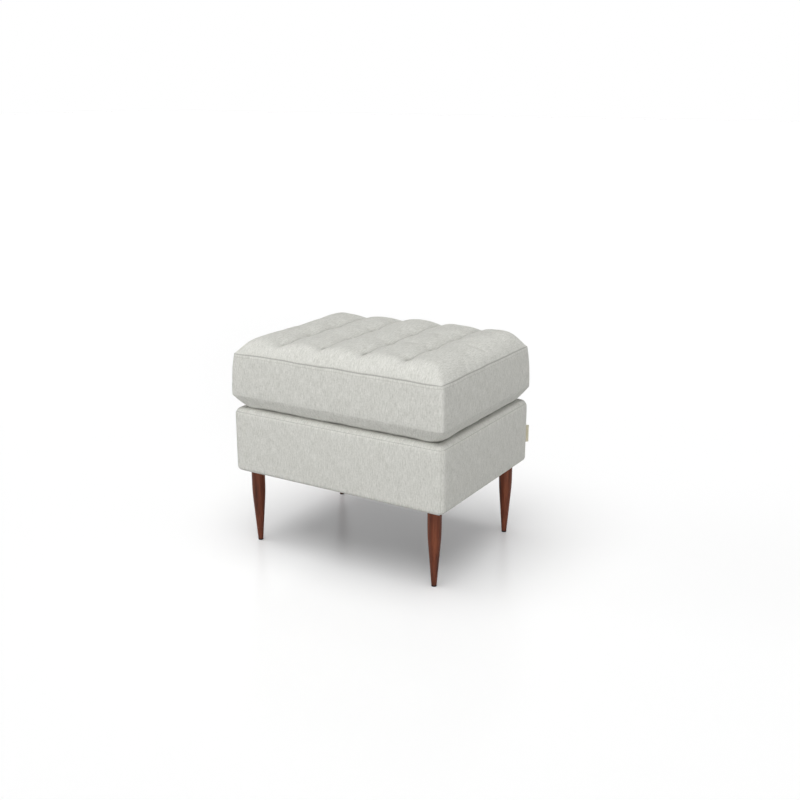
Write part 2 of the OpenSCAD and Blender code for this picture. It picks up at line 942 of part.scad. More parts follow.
// The wadding that fills the lobes between the top panel and the foam
module top_wadding() {
    half_x = seam_w / 2 - wadding_inset;
    half_y = seam_d / 2 - wadding_inset;
    step_x = tuft_pitch_x / 2;
    step_y = tuft_pitch_y / 2;
    lines_x = [for (i = [0 : floor((seam_w - crown_rise) / 2 / step_x)]) i * step_x];
    lines_y = [for (i = [0 : floor((seam_d - crown_rise) / 2 / step_y)]) i * step_y];
    xs = both_halves(concat(lines_x, [half_x - wadding_slope_in, half_x]));
    ys = both_halves(concat(lines_y, [half_y - wadding_slope_in, half_y]));
    columns = len(xs);
    rows = len(ys);
    low = top_seam_z + fine;
    top = [
        for (j = [0 : rows - 1])
            for (i = [0 : columns - 1])
                let (lift = top_height(xs[i], ys[j]) - wadding_drop)
                let (p = rounded(xs[i], ys[j]))
                [p[0], p[1], on_rim(i, j, columns, rows) ? low + fine : low + max(fine, lift)]
    ];
    bottom = [for (p = top) [p[0], p[1], low]];
    color(fibre_color)
        difference() {
            grid_solid(top, bottom, columns, rows);
            for_each_tuft()
                cylinder(d = twine_d + 2 * snug, h = top_seam_z + crown_h);
        }
}

module for_each_tuft() {
    for (i = [0 : tuft_cols - 1])
        for (j = [0 : tuft_rows - 1])
            translate([
                (i - (tuft_cols - 1) / 2) * tuft_pitch_x,
                (j - (tuft_rows - 1) / 2) * tuft_pitch_y,
                0
            ])
                children();
}

// The belt of fibre between the side bands and the foam, hollowed at the back for the zip
module fibre_belt() {
    outer_inset = seam_draw + cloth_t + fine;
    low = low_seam_z + fine;
    high = top_seam_z;
    recess_h = 2 * (tape_far_z + fine);
    color(fibre_color)
        difference() {
            translate([0, 0, low])
                linear_extrude(high - low)
                    difference() {
                        square([cushion_w - 2 * outer_inset, cushion_d - 2 * outer_inset], center = true);
                        square([
                            cushion_w - 2 * (outer_inset + belt_t),
                            cushion_d - 2 * (outer_inset + belt_t)
                        ], center = true);
                    }
            translate([-zip_l / 2 - cushion_r, zip_y - zip_recess / 2, band_mid_z - recess_h / 2])
                cube([zip_l + 2 * cushion_r, zip_recess, recess_h]);
            for (corner = CORNERS)
                translate([
                    corner[0] * (cushion_w / 2 - outer_inset),
                    corner[1] * (cushion_d / 2 - outer_inset),
                    low_seam_z
                ])
                    rotate([0, 0, 45])
                        cube([belt_t, belt_t, 3 * band_h], center = true);
        }
}

// The foam block, sloped along its lower edge like the underside of the cover
module foam_core() {
    w = cushion_w - 2 * core_inset;
    d = cushion_d - 2 * core_inset;
    low_w = cushion_w - 2 * core_low_inset;
    low_d = cushion_d - 2 * core_low_inset;
    color(foam_color)
        difference() {
            hull() {
                translate([-w / 2, -d / 2, low_seam_z])
                    cube([w, d, band_h]);
                translate([-low_w / 2, -low_d / 2, core_low_z])
                    cube([low_w, low_d, top_seam_z - core_low_z]);
            }
            for_each_tuft() {
                cylinder(d = twine_d + 2 * snug, h = top_seam_z + crown_h);
                translate([0, 0, core_low_z - anchor_t])
                    cylinder(d = anchor_d + 2 * snug, h = 2 * anchor_t + snug);
            }
        }
}

// The twine that pulls each tuft down, from the back of the top panel to its disc
module tuft_twine() {
    dip = crown_h - channel_depth - fold_depth - dimple_depth;
    start = core_low_z + anchor_t;
    stop = top_seam_z + dip - 2 * cloth_t;
    color(fibre_color)
        for_each_tuft()
            translate([0, 0, start])
                cylinder(d = twine_d, h = stop - start);
}

module tuft_anchors() {
    color(black_color)
        for_each_tuft()
            translate([0, 0, core_low_z])
                cylinder(d = anchor_d, h = anchor_t);
}

// Points of a rectangle with round corners, the same number for every size
function round_outline(w, d, r, steps) = [
    for (corner = [0 : 3])
        for (k = [0 : steps])
            let (turn = 90 * corner + 90 * k / steps)
            let (cx = (corner == 0 || corner == 3 ? 1 : -1) * (w / 2 - r))
            let (cy = (corner < 2 ? 1 : -1) * (d / 2 - r))
            [cx + r * cos(turn), cy + r * sin(turn)]
];

// One ring of the underside: from the bottom seam, share 0, in and down to the flat, share 1
function under_ring(share, inset, lift) =
    let (swell = under_swell * sin(180 * share))
    let (gap = under_in * share - swell + inset)
    let (z = cushion_z + under_h * (1 - share) + lift)
    let (r = max(under_corner_r, seam_r - gap / 2))
    [
        for (p = round_outline(seam_w - 2 * gap, seam_d - 2 * gap, r, under_corner_steps))
            [p[0], p[1], z]
    ];

// The cloth under the cushion: a flat middle and a sloping edge up to the bottom seam
module cushion_underside() {
    shares = [0, 1 / 3, 2 / 3, 1];
    rings = concat(
        [for (share = shares) under_ring(share, 0, 0)],
        [for (i = [len(shares) - 1 : -1 : 0]) under_ring(shares[i], cloth_t, i == 0 ? 0 : cloth_t)]
    );
    n = len(rings[0]);
    levels = len(shares);
    points = [for (ring = rings) for (p = ring) p];
    walls = [
        for (k = [0 : 2 * levels - 1])
            if (k != levels - 1)
                for (i = [0 : n - 1])
                    let (a = k * n + i)
                    let (b = k * n + (i + 1) % n)
                    let (c = ((k + 1) % (2 * levels)) * n + i)
                    let (d = ((k + 1) % (2 * levels)) * n + (i + 1) % n)
                    for (half = [[a, b, c], [b, d, c]])
                        half
    ];
    outer_start = (levels - 1) * n;
    inner_start = levels * n;
    outer_flat = [for (i = [1 : n - 2]) [outer_start, outer_start + i, outer_start + i + 1]];
    inner_flat = [for (i = [1 : n - 2]) [inner_start, inner_start + i + 1, inner_start + i]];
    echo("cushion underside triangles", len(walls) + len(outer_flat) + len(inner_flat));
    color(cloth_color)
        polyhedron(points, concat(walls, outer_flat, inner_flat), convexity = 6);
}

// The two zip tapes, each sewn behind one half of the back band
module zip_tapes() {
    length = zip_l + 2 * stop_l;
    start = row_gap / 2 + tooth_w;
    color(tape_color)
        for (end = [-1, 1])
            mirror([0, 0, end > 0 ? 0 : 1])
                translate([-length / 2, zip_y - tape_t / 2, end * band_mid_z + start])
                    cube([length, tape_t, tape_w]);
}

// The two tooth rows, which stand apart by the thickness of the slider's neck
module zip_teeth() {
    color(steel_color)
        for (end = [-1, 1])
            mirror([0, 0, end > 0 ? 0 : 1])
                translate([-zip_l / 2, zip_y - tooth_t / 2, end * band_mid_z + row_gap / 2])
                    cube([zip_l, tooth_t, tooth_w]);
}

// A stop at each end of the tooth rows
module zip_stops() {
    half = row_gap / 2 + tooth_w;
    color(steel_color)
        for (end = [0, 1])
            mirror([end, 0, 0])
                translate([zip_l / 2, zip_y - tooth_t / 2, band_mid_z - half])
                    cube([stop_l, tooth_t, 2 * half]);
}

// Half of the slider's plate and its flange, reaching out from the tooth rows
module slider_plate() {
    inner = tooth_t / 2 + fine;
    translate([-slider_l / 2, inner, -slider_half_h])
        cube([slider_l, slider_t, 2 * slider_half_h]);
    for (end = [-1, 1])
        translate([
            -slider_l / 2,
            tape_t / 2 + fine,
            end > 0 ? slider_half_h - slider_flange : -slider_half_h
        ])
            cube([slider_l, inner - tape_t / 2 - fine, slider_flange]);
}

// The slider, at the closed end of its run, with the bar that the pull hangs on
module zip_slider() {
    neck_l = slider_l / 2;
    post_y = slider_face_y - slider_t / 2;
    post_x = bar_half - post_w / 2;
    color(steel_color) {
        translate([slider_home_x, zip_y, band_mid_z]) {
            slider_plate();
            mirror([0, 1, 0])
                slider_plate();
            translate([-neck_l / 2, -tooth_t / 2 - fine - slider_t / 2, -neck_t / 2])
                cube([neck_l, tooth_t + 2 * fine + slider_t, neck_t]);
        }
        for (end = [-1, 1])
            translate([slider_home_x + end * post_x - post_w / 2, post_y, band_mid_z - post_w / 2])
                cube([post_w, bar_y - post_y, post_w]);
        translate([slider_home_x - bar_half, bar_y, band_mid_z])
            rotate([0, 90, 0])
                cylinder(d = bar_d, h = 2 * bar_half);
    }
}

// The pull: an eye round the slider's bar and a flat tongue that hangs from it
module zip_pull() {
    tongue_t = slider_t;
    color(steel_color)
        translate([slider_home_x, bar_y, band_mid_z])
            difference() {
                union() {
                    rotate([0, 90, 0])
                        cylinder(d = eye_d, h = eye_w, center = true);
                    translate([-pull_w / 2, -tongue_t / 2, -pull_l - eye_d / 2])
                        cube([pull_w, tongue_t, pull_l + 2 * snug]);
                    translate([-eye_w / 2, -tongue_t / 2, -pull_l / 2])
                        cube([eye_w, tongue_t, pull_l / 2]);
                }
                rotate([0, 90, 0])
                    cylinder(d = bar_d + 2 * bar_gap, h = 2 * eye_w, center = true);
            }
}

front_rail();
back_rail();
left_rail();
right_rail();
frame_dowels();
corner_block(CORNERS[0]);  // corner_block_front_left
corner_block(CORNERS[1]);  // corner_block_front_right
corner_block(CORNERS[2]);  // corner_block_back_left
corner_block(CORNERS[3]);  // corner_block_back_right
long_strap(0);  // long_strap_front
long_strap(1);  // long_strap_middle
long_strap(2);  // long_strap_back
cross_strap(0);  // cross_strap_left
cross_strap(1);  // cross_strap_mid_left
cross_strap(2);  // cross_strap_mid_right
cross_strap(3);  // cross_strap_right
color(steel_color) strap_staples(0);
rail_padding();
edge_roll();
deck_pad();
platform_cloth();
top_border();
front_panel();
back_panel();
left_panel();
right_panel();
side_tag();
dust_cover();
dust_cover_staples();
leg_plate(CORNERS[0]);  // leg_plate_front_left
leg_plate(CORNERS[1]);  // leg_plate_front_right
leg_plate(CORNERS[2]);  // leg_plate_back_left
leg_plate(CORNERS[3]);  // leg_plate_back_right
plate_screws();
hanger_bolts();
leg(CORNERS[0]);  // leg_front_left
leg(CORNERS[1]);  // leg_front_right
leg(CORNERS[2]);  // leg_back_left
leg(CORNERS[3]);  // leg_back_right
glide(CORNERS[0]);  // glide_front_left
glide(CORNERS[1]);  // glide_front_right
glide(CORNERS[2]);  // glide_back_left
glide(CORNERS[3]);  // glide_back_right
cushion_top();
cushion_front_band();
cushion_left_band();
cushion_right_band();
cushion_back_band_upper();
cushion_back_band_lower();
cushion_underside();
top_wadding();
fibre_belt();
foam_core();
tuft_twine();
tuft_anchors();
zip_tapes();
zip_teeth();
zip_stops();
zip_slider();
zip_pull();
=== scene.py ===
# %% [markdown]
# # A tufted ottoman
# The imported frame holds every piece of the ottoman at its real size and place. This lesson dresses it: it
# models the cloth, the turned legs, the zip and the padding as meshes, gives each of them a material made
# of nodes, and sets the studio round them. Nothing is moved: a piece goes where the frame says that its
# node is.

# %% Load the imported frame
from math import asin, cos, exp, hypot, pi, radians, sin, tan

import bmesh
import bpy
from mathutils import Matrix, Vector, noise
from mathutils.bvhtree import BVHTree


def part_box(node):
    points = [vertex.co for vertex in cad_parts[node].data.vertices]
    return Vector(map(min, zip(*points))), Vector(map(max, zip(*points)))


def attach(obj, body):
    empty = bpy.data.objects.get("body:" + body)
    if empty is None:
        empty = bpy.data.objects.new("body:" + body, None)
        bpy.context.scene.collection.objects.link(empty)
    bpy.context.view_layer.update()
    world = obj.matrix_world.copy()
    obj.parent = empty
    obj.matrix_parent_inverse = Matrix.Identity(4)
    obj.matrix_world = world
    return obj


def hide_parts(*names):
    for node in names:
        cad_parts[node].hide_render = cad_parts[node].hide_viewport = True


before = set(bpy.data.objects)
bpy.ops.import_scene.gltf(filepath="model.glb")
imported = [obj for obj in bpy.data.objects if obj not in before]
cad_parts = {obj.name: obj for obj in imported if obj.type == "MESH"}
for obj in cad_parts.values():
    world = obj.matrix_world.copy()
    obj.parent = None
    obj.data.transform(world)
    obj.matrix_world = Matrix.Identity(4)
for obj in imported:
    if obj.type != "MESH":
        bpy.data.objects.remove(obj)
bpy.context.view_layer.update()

# %% [markdown]
# ## The camera
# The photograph was taken from in front of the ottoman's right corner, a little over a metre up, tilted
# down. A camera can be aimed at a target, but a target only gives its direction. Here the place, the turn
# and the lens are set outright, because a fit to the ottoman's edges gave all three.

# %% Camera
CAMERA_PLACE = (1.29057, -2.03844, 1.06227)
CAMERA_AZIMUTH = 31.377     # degrees round from the front
CAMERA_TILT = 16.555        # degrees below the horizon
CAMERA_LENS = 48.06         # millimetres
SENSOR_WIDTH = 36           # millimetres

bpy.ops.object.camera_add(
    location=CAMERA_PLACE,
    rotation=(radians(90 - CAMERA_TILT), 0, radians(CAMERA_AZIMUTH)),
)
camera = bpy.context.object
camera.name = "studio_camera"
camera.data.lens = CAMERA_LENS
camera.data.sensor_width = SENSOR_WIDTH
bpy.context.scene.camera = camera
bpy.context.scene.view_settings.view_transform = "Standard"
print("Camera:", camera.name, "with a", CAMERA_LENS, "mm lens")

# %% [markdown]
# ## Shader maths in plain Python
# A material is a net of nodes. Written node by node, its sums would fill pages, so a small class wraps a
# socket and takes part in Python's own sums: adding two wrapped sockets adds one Math node. All other
# nodes come from one method of the class Finish, which takes the node's type, its settings and its
# sockets.

# %% Sockets that can be added and multiplied
class Signal:
    """A socket that carries a number or a vector, and that Python's operators work on."""

    def __init__(self, finish, socket):
        self.finish = finish
        self.socket = socket

    def __add__(self, other):
        return self.finish.sum("ADD", self, other)

    def __radd__(self, other):
        return self.finish.sum("ADD", other, self)

    def __sub__(self, other):
        return self.finish.sum("SUBTRACT", self, other)

    def __rsub__(self, other):
        return self.finish.sum("SUBTRACT", other, self)

    def __mul__(self, other):
        return self.finish.sum("MULTIPLY", self, other)

    def __rmul__(self, other):
        return self.finish.sum("MULTIPLY", other, self)


print("Sockets can be added, subtracted and multiplied")


# %% A material and its nodes
class Finish:
    """A material, with its nodes and the shader that ends them."""

    def __init__(self, name, target=None):
        self.material = target or bpy.data.materials.new(name)
        self.material.use_nodes = True
        self.tree = self.material.node_tree
        self.tree.nodes.clear()

    def node(self, kind, settings=None, sockets=None, output=0):
        """Adds a node: its settings first, then the values or links of its sockets."""
        made = self.tree.nodes.new(kind)
        for name, value in (settings or {}).items():
            if name == "ramp":
                self.fill_ramp(made.color_ramp, value)
            else:
                setattr(made, name, value)
        for name, value in (sockets or {}).items():
            self.feed(self.find(made.inputs, name), value)
        return Signal(self, self.find(made.outputs, output)) if made.outputs else made

    def find(self, sockets, name):
        """The socket with this number or identifier, or else with this name."""
        if isinstance(name, int):
            return sockets[name]
        for socket in sockets:
            if socket.identifier == name:
                return socket
        return sockets[name]

    def fill_ramp(self, ramp, stops):
        while len(ramp.elements) < len(stops):
            ramp.elements.new(1)
        for element, (place, colour) in zip(ramp.elements, stops):
            element.position = place
            element.color = colour

    def feed(self, socket, value):
        """Links a signal to a socket, or sets a plain value on it."""
        if isinstance(value, Signal):
            self.tree.links.new(value.socket, socket)
        else:
            socket.default_value = value

    def sum(self, operation, *values):
        return self.node("ShaderNodeMath", {"operation": operation}, dict(enumerate(values)))

    def clamp(self, value, low=0.0, high=1.0):
        """Spreads low to high over 0 to 1, and holds what lies outside."""
        sockets = {"Value": value, "From Min": low, "From Max": high}
        return self.node("ShaderNodeMapRange", {"clamp": True}, sockets)

    def ramp(self, share, stops):
        """A colour that changes from stop to stop as the share goes from 0 to 1."""
        return self.node("ShaderNodeValToRGB", {"ramp": stops}, {"Fac": share}, "Color")

    def blend(self, share, first, second):
        """Mixes two colours."""
        sockets = {"Factor_Float": share, "A_Color": first, "B_Color": second}
        return self.node("ShaderNodeMix", {"data_type": "RGBA"}, sockets, "Result_Color")

    def stretch(self, place, scale):
        """Scales a place, so that a pattern gets its own size along each axis."""
        return self.node("ShaderNodeVectorMath", {"operation": "MULTIPLY"}, {0: place, 1: scale})

    def cloud(self, place, scale, detail=2.0, roughness=0.5):
        """Noise from 0 to 1, whose blots have the size of 1 divided by the scale."""
        sockets = {"Scale": 1.0, "Detail": detail, "Roughness": roughness}
        return self.node("ShaderNodeTexNoise", {}, {"Vector": self.stretch(place, scale), **sockets})

    def object_place(self):
        return self.node("ShaderNodeTexCoord", {}, {}, "Object")

    def cloth_place(self):
        return self.node("ShaderNodeUVMap", {"uv_map": CUT_MAP}, {})

    def split(self, place):
        parts = self.node("ShaderNodeSeparateXYZ", {}, {0: place})
        return [Signal(self, socket) for socket in parts.socket.node.outputs]

    def bump(self, height, depth, strength=1.0):
        """A relief: height from 0 to 1, depth in metres."""
        sockets = {"Strength": strength, "Distance": depth, "Height": height}
        return self.node("ShaderNodeBump", {}, sockets)

    def surface(self, sockets):
        """Ends the nodes in a Principled shader."""
        shader = self.node("ShaderNodeBsdfPrincipled", {}, sockets)
        self.node("ShaderNodeOutputMaterial", {}, {"Surface": shader})
        return self.material


CUT_MAP = "cut"     # the UV map of every cloth piece: metres on the flat cut, the warp running up
print("Cloth patterns read the map", CUT_MAP)


# %% Colours
def grey(level):
    """A neutral colour, as the shader wants it."""
    return (level, level, level, 1)


def tone(red, green, blue):
    """A colour given as on a screen, 0 to 255, made linear for the shader."""
    levels = [value / 255 for value in (red, green, blue)]
    linear = [level / 12.92 if level < 0.04045 else ((level + 0.055) / 1.055) ** 2.4 for level in levels]
    return (*linear, 1)


print("Half grey on a screen is", round(tone(128, 128, 128)[0], 3), "to the shader")

# %% [markdown]
# ## The studio
# The photograph has a white room without corners and a wide soft lamp overhead, a little to the front:
# the shadow lies right under the ottoman. Two more lamps stand low, a strong one near the camera and a
# weak one on the left, which models the folds of the top. Area lamps would fall off across the floor, so
# all three are suns, which light it alike everywhere. The world adds soft grey light from all round and
# shows as white to the camera and in reflections. The floor gives a little light of its own there too,
# so that it stays white.

# %% World and lamps
WORLD_LEVEL = 0.20
LAMPS = {
    # name: strength, degrees that it fills in the sky, direction that its light goes
    "ceiling_lamp": (2.00, 60, (0.01, 0.24, -1.0)),
    "front_fill": (2.62, 30, (-0.62, 0.82, -0.07)),
    "left_fill": (0.80, 30, (0.92, 0.33, -0.11)),
}


def seen_directly(finish):
    """1 for rays from the camera and in reflections, 0 for the light that falls on things."""
    outputs = finish.node("ShaderNodeLightPath").socket.node.outputs
    camera_ray, glossy_ray, clear_ray = [
        Signal(finish, outputs[name]) for name in ("Is Camera Ray", "Is Glossy Ray", "Is Transmission Ray")
    ]
    return finish.sum("MAXIMUM", finish.sum("MAXIMUM", camera_ray, glossy_ray), clear_ray)


def make_world():
    world = bpy.data.worlds.new("studio_light")
    bpy.context.scene.world = world
    light = Finish("studio_light", world)
    colour = light.blend(seen_directly(light), grey(WORLD_LEVEL), grey(1.0))
    shown = light.node("ShaderNodeBackground", {}, {"Color": colour, "Strength": 1.0})
    light.node("ShaderNodeOutputWorld", {}, {"Surface": shown})


def make_lamp(name, strength, width, towards):
    bpy.ops.object.light_add(type="SUN", rotation=Vector(towards).to_track_quat("-Z", "Y").to_euler())
    lamp = bpy.context.object
    lamp.name = name
    lamp.data.energy = strength
    lamp.data.angle = radians(width)


make_world()
for name, (strength, width, towards) in LAMPS.items():
    make_lamp(name, strength, width, towards)
print("World", WORLD_LEVEL, "and lamps", ", ".join(LAMPS))

# %% Floor
FLOOR_SIZE = 60
FLOOR_COLOUR = 1.0          # as the camera sees it
FLOOR_BOUNCE = 0.28         # as the ottoman sees it: less light comes back up under the cushion
FLOOR_GLOW = 0.06
FLOOR_ROUGHNESS = 0.22
FLOOR_SHINE = 0.15


def make_floor():
    bpy.ops.mesh.primitive_grid_add(x_subdivisions=2, y_subdivisions=2, size=FLOOR_SIZE)
    floor_piece = bpy.context.object
    floor_piece.name = "studio_floor"
    paint = Finish("studio_floor")
    seen = seen_directly(paint)
    matt = paint.node("ShaderNodeBsdfPrincipled", {}, {
        "Base Color": paint.blend(seen, grey(FLOOR_BOUNCE), grey(FLOOR_COLOUR)),
        "Roughness": FLOOR_ROUGHNESS,
        "Specular IOR Level": FLOOR_SHINE,
    })
    glow = paint.node("ShaderNodeEmission", {}, {"Color": grey(1.0), "Strength": seen * FLOOR_GLOW})
    both = paint.node("ShaderNodeAddShader", {}, {0: matt, 1: glow})
    paint.node("ShaderNodeOutputMaterial", {}, {"Surface": both})
    floor_piece.data.materials.append(paint.material)


make_floor()
print("Floor", FLOOR_SIZE, "m across")

# %% [markdown]
# ## The upholstery cloth
# The cloth is a plain weave in heathered warm grey. Each thread differs a little in tone, some warp
# threads have thick slubs that show as short upright streaks, and broad soft clouds of tone come from the
# dyeing. One noise in all directions would look like plaster, so five are added up, each drawn out along
# its own thread. The pattern follows the flat cut of each panel, which keeps its threads straight on a
# curved piece. A relief of crossing waves stands for the threads, and a little sheen for the fine hairs
# that catch light at grazing angles.

# %% Tones of the upholstery cloth
CLOTH_COLOUR = tone(206, 206, 200)
CLOTH_DARK = tone(184, 184, 177)
CLOTH_LIGHT = tone(222, 221, 216)
CLOTH_STOPS = [(0.22, CLOTH_DARK), (0.52, CLOTH_COLOUR), (0.80, CLOTH_LIGHT)]
THREAD = 0.0008             # metres from one thread to the next
THREADS = 1 / THREAD
CLOTH_NOISES = {
    # name: blots in a metre across and up, detail, share of the tone
    "warp": (THREADS, THREADS * 0.10, 2.0, 0.30),
    "weft": (THREADS * 0.10, THREADS, 2.0, 0.30),
    "flecks": (THREADS * 0.24, THREADS * 0.17, 1.0, 0.46),
    "slubs": (THREADS * 0.36, THREADS * 0.05, 1.0, 0.62),
    "clouds": (60, 36, 2.0, 0.24),
}
TONE_SHIFT = 0.48           # brings the middle of the added noises back near one half


def weave_relief(finish, place, pitch):
    """Crossing threads: 1 where a thread lies on top, 0 in the holes between."""
    along, across, _ = finish.split(place)
    warp = finish.sum("SINE", along * (pi / pitch))
    weft = finish.sum("SINE", across * (pi / pitch))
    return finish.clamp(warp * weft, -1.0, 1.0)


def cloth_tones(finish, place):
    """Tone of each spot, about 0 to 1: thread by thread, slubs, and clouds from the dyeing."""
    tones = [
        finish.cloud(place, (across, up, 1), detail) * share
        for across, up, detail, share in CLOTH_NOISES.values()
    ]
    return sum(tones) - TONE_SHIFT


print("Noises of the cloth:", ", ".join(CLOTH_NOISES))

# %% Upholstery cloth
PAINTED_SHADE_TONE = tone(128, 127, 122)     # painted shade in the grooves of the seams, in the folds and at the tufts
PAINTED_SHADE_START = 0.25                   # weaker painted shade than this leaves no trace
PAINTED_SHADE_DARKNESS = 0.75
PAINTED_SHADOW_TONE = tone(84, 83, 79)     # painted shadow where the cushion rests on the base
THREAD_DEPTH = 0.0003


def make_cloth():
    cloth = Finish("upholstery_cloth")
    place = cloth.cloth_place()
    shade = cloth_tones(cloth, place)
    colour = cloth.ramp(shade, CLOTH_STOPS)
    # The attribute paints shade into the colour: in seam grooves, folds and tufts, and a darker painted
    # shadow where the cushion rests on the base.
    seam = cloth.node("ShaderNodeAttribute", {"attribute_name": "seam"}, {}, "Fac")
    colour = cloth.blend(cloth.clamp(seam, PAINTED_SHADE_START, 1.0) * PAINTED_SHADE_DARKNESS, colour, PAINTED_SHADE_TONE)
    colour = cloth.blend(cloth.clamp(seam, 1.0, 2.0), colour, PAINTED_SHADOW_TONE)
    relief = weave_relief(cloth, place, THREAD) * 0.6 + shade * 0.4
    return cloth.surface({
        "Base Color": colour,
        "Roughness": 0.93 - shade * 0.10,
        "Specular IOR Level": 0.2,
        "Sheen Weight": 0.25,
        "Sheen Roughness": 0.5,
        "Sheen Tint": CLOTH_LIGHT,
        "Normal": cloth.bump(relief, THREAD_DEPTH, 0.7),
    })


CLOTH = make_cloth()
print("Cloth with", round(THREADS / 100), "threads in a centimetre")

# %% [markdown]
# ## The other cloths
# The lining under the cushion, the black dust cover, the webbing, the zip's tape, the side tag and the
# sewing thread are plain weaves without slubs. Each could have its own nodes, but they differ only in
# tone and in the size of their threads, so one function makes them all. They read the flat cut as well,
# or their own place where a piece is straight.

# %% Plain cloths
def make_plain_cloth(name, dark, light, thread, on_cut=True, depth=0.0002):
    """A plain weave of two tones: thread is the way from one thread to the next, in metres."""
    cloth = Finish(name)
    place = cloth.cloth_place() if on_cut else cloth.object_place()
    threads = 1 / thread
    drawn = threads * 0.12
    tones = cloth.cloud(place, (threads, drawn, drawn)) * 0.5
    tones = tones + cloth.cloud(place, (drawn, threads, threads * 0.5)) * 0.5
    colour = cloth.blend(cloth.clamp(tones, 0.3, 0.7), dark, light)
    relief = weave_relief(cloth, place, thread)
    return cloth.surface({
        "Base Color": colour,
        "Roughness": 0.95 - tones * 0.1,
        "Specular IOR Level": 0.2,
        "Normal": cloth.bump(relief, depth),
    })


THREAD_DARK = tone(168, 167, 160)
THREAD_LIGHT = tone(196, 195, 189)
LINING = make_plain_cloth("lining_cloth", tone(186, 184, 176), tone(204, 202, 195), 0.0005)
DUST_CLOTH = make_plain_cloth("dust_cover_cloth", tone(20, 20, 21), tone(38, 38, 40), 0.0009)
WEBBING = make_plain_cloth("webbing_jute", tone(150, 118, 74), tone(196, 168, 118), 0.0022, False, 0.0006)
ZIP_TAPE = make_plain_cloth("zip_tape_cloth", THREAD_DARK, THREAD_LIGHT, 0.0006)
TAG_CLOTH = make_plain_cloth("tag_ribbon", tone(176, 169, 146), tone(206, 200, 178), 0.0004)
SEWING_THREAD = make_plain_cloth("sewing_thread", THREAD_DARK, THREAD_LIGHT, 0.0004, False)
plain_cloths = (LINING, DUST_CLOTH, WEBBING, ZIP_TAPE, TAG_CLOTH, SEWING_THREAD)
print("Plain cloths:", ", ".join(cloth.name for cloth in plain_cloths))

# %% [markdown]
# ## Wood
# The legs are a hardwood stained a reddish dark brown under a satin varnish. Its grain runs up the leg:
# broad bands of tone, fine fibres, and short dark pores. A Wave texture gives rings as even as a drawing,
# so all three are clouds of noise drawn out along Z. The frame inside is plain pale timber with wider
# bands, and the grain of each board runs along the board.

# %% Wood
def grain(finish, place, along, fineness):
    """Bands, fibres and pores of wood whose grain runs along one axis: 0 for X, 1 for Y, 2 for Z."""
    def drawn_out(across, length):
        scale = [across * fineness] * 3
        scale[along] = length * fineness
        return tuple(scale)

    bands = finish.cloud(place, drawn_out(60, 4), 2.0)
    fibres = finish.cloud(place, drawn_out(420, 11), 3.0, 0.6)
    pores = finish.clamp(finish.cloud(place, drawn_out(900, 34), 1.0), 0.62, 0.74)
    return bands, fibres, pores


def make_wood(name, dark, middle, light, along, fineness=1.0, coat=0.06, roughness=0.5):
    wood = Finish(name)
    bands, fibres, pores = grain(wood, wood.object_place(), along, fineness)
    shade = bands * 0.6 + fibres * 0.5 - 0.05
    colour = wood.ramp(shade, [(0.30, dark), (0.50, middle), (0.72, light)])
    colour = wood.blend(pores * 0.55, colour, dark)
    return wood.surface({
        "Base Color": colour,
        "Roughness": fibres * 0.12 + (roughness - 0.04),
        "Specular IOR Level": 0.18,
        "Coat Weight": coat,
        "Coat Roughness": 0.22,
        "Normal": wood.bump(fibres * 0.5 - pores * 0.5, 0.00012),
    })


WALNUT = make_wood("walnut_satin", tone(50, 22, 12), tone(98, 50, 32), tone(134, 76, 50), 2)
TIMBER_TONES = (tone(176, 136, 88), tone(204, 168, 118), tone(222, 192, 146))
TIMBER_X, TIMBER_Y, TIMBER_Z = [
    make_wood(f"timber_along_{axis}", *TIMBER_TONES, along, fineness=0.6, coat=0.0, roughness=0.7)
    for along, axis in enumerate("xyz")
]
print("Woods:", WALNUT.name, TIMBER_X.name, TIMBER_Y.name, TIMBER_Z.name)

# %% [markdown]
# ## Metal, foam, fibre and hard plastic
# The screws, staples and plates are zinc-plated steel with fine scratches and duller spots. The zip is
# nickel, a little brighter. Foam shows its cells as small pits, fibre its loose clumps, and the glides
# are black plastic with a faint grain. A bare metal or plastic shader would look like a toy, and noise
# that reads the piece's own place gives all of these their small unevenness without any cut to follow.

# %% Metal
def make_metal(name, dark, light, roughness, scratches_across):
    """A metal with this many scratches in a metre across them."""
    metal = Finish(name)
    place = metal.object_place()
    drawn = (scratches_across, scratches_across * 0.08, scratches_across * 0.4)
    scratches = metal.cloud(place, drawn, 3.0, 0.6)
    spots = metal.cloud(place, (240, 240, 240), 2.0)
    colour = metal.blend(metal.clamp(scratches * 0.5 + spots * 0.5, 0.3, 0.7), dark, light)
    return metal.surface({
        "Base Color": colour,
        "Metallic": 1.0,
        "Roughness": spots * 0.25 + (roughness - 0.12),
        "Normal": metal.bump(scratches, 0.00004),
    })


STEEL = make_metal("zinc_plated_steel", tone(150, 151, 154), tone(196, 197, 200), 0.42, 1800)
NICKEL = make_metal("nickel_zip", tone(162, 160, 154), tone(208, 206, 200), 0.30, 2600)
print("Metals:", STEEL.name, NICKEL.name)


# %% Foam, fibre, twine and plastic
def make_stuffing(name, dark, light, cell, depth, roughness=0.95):
    """A material of small cells: cell is their size and depth their relief, in metres."""
    stuffing = Finish(name)
    place = stuffing.object_place()
    cells = stuffing.cloud(place, (1 / cell, 1 / cell, 1 / cell), 3.0, 0.6)
    broad = stuffing.cloud(place, (30, 30, 30), 2.0)
    colour = stuffing.blend(stuffing.clamp(cells * 0.7 + broad * 0.3, 0.3, 0.7), dark, light)
    return stuffing.surface({
        "Base Color": colour,
        "Roughness": cells * 0.1 + (roughness - 0.05),
        "Specular IOR Level": 0.2,
        "Normal": stuffing.bump(cells, depth),
    })


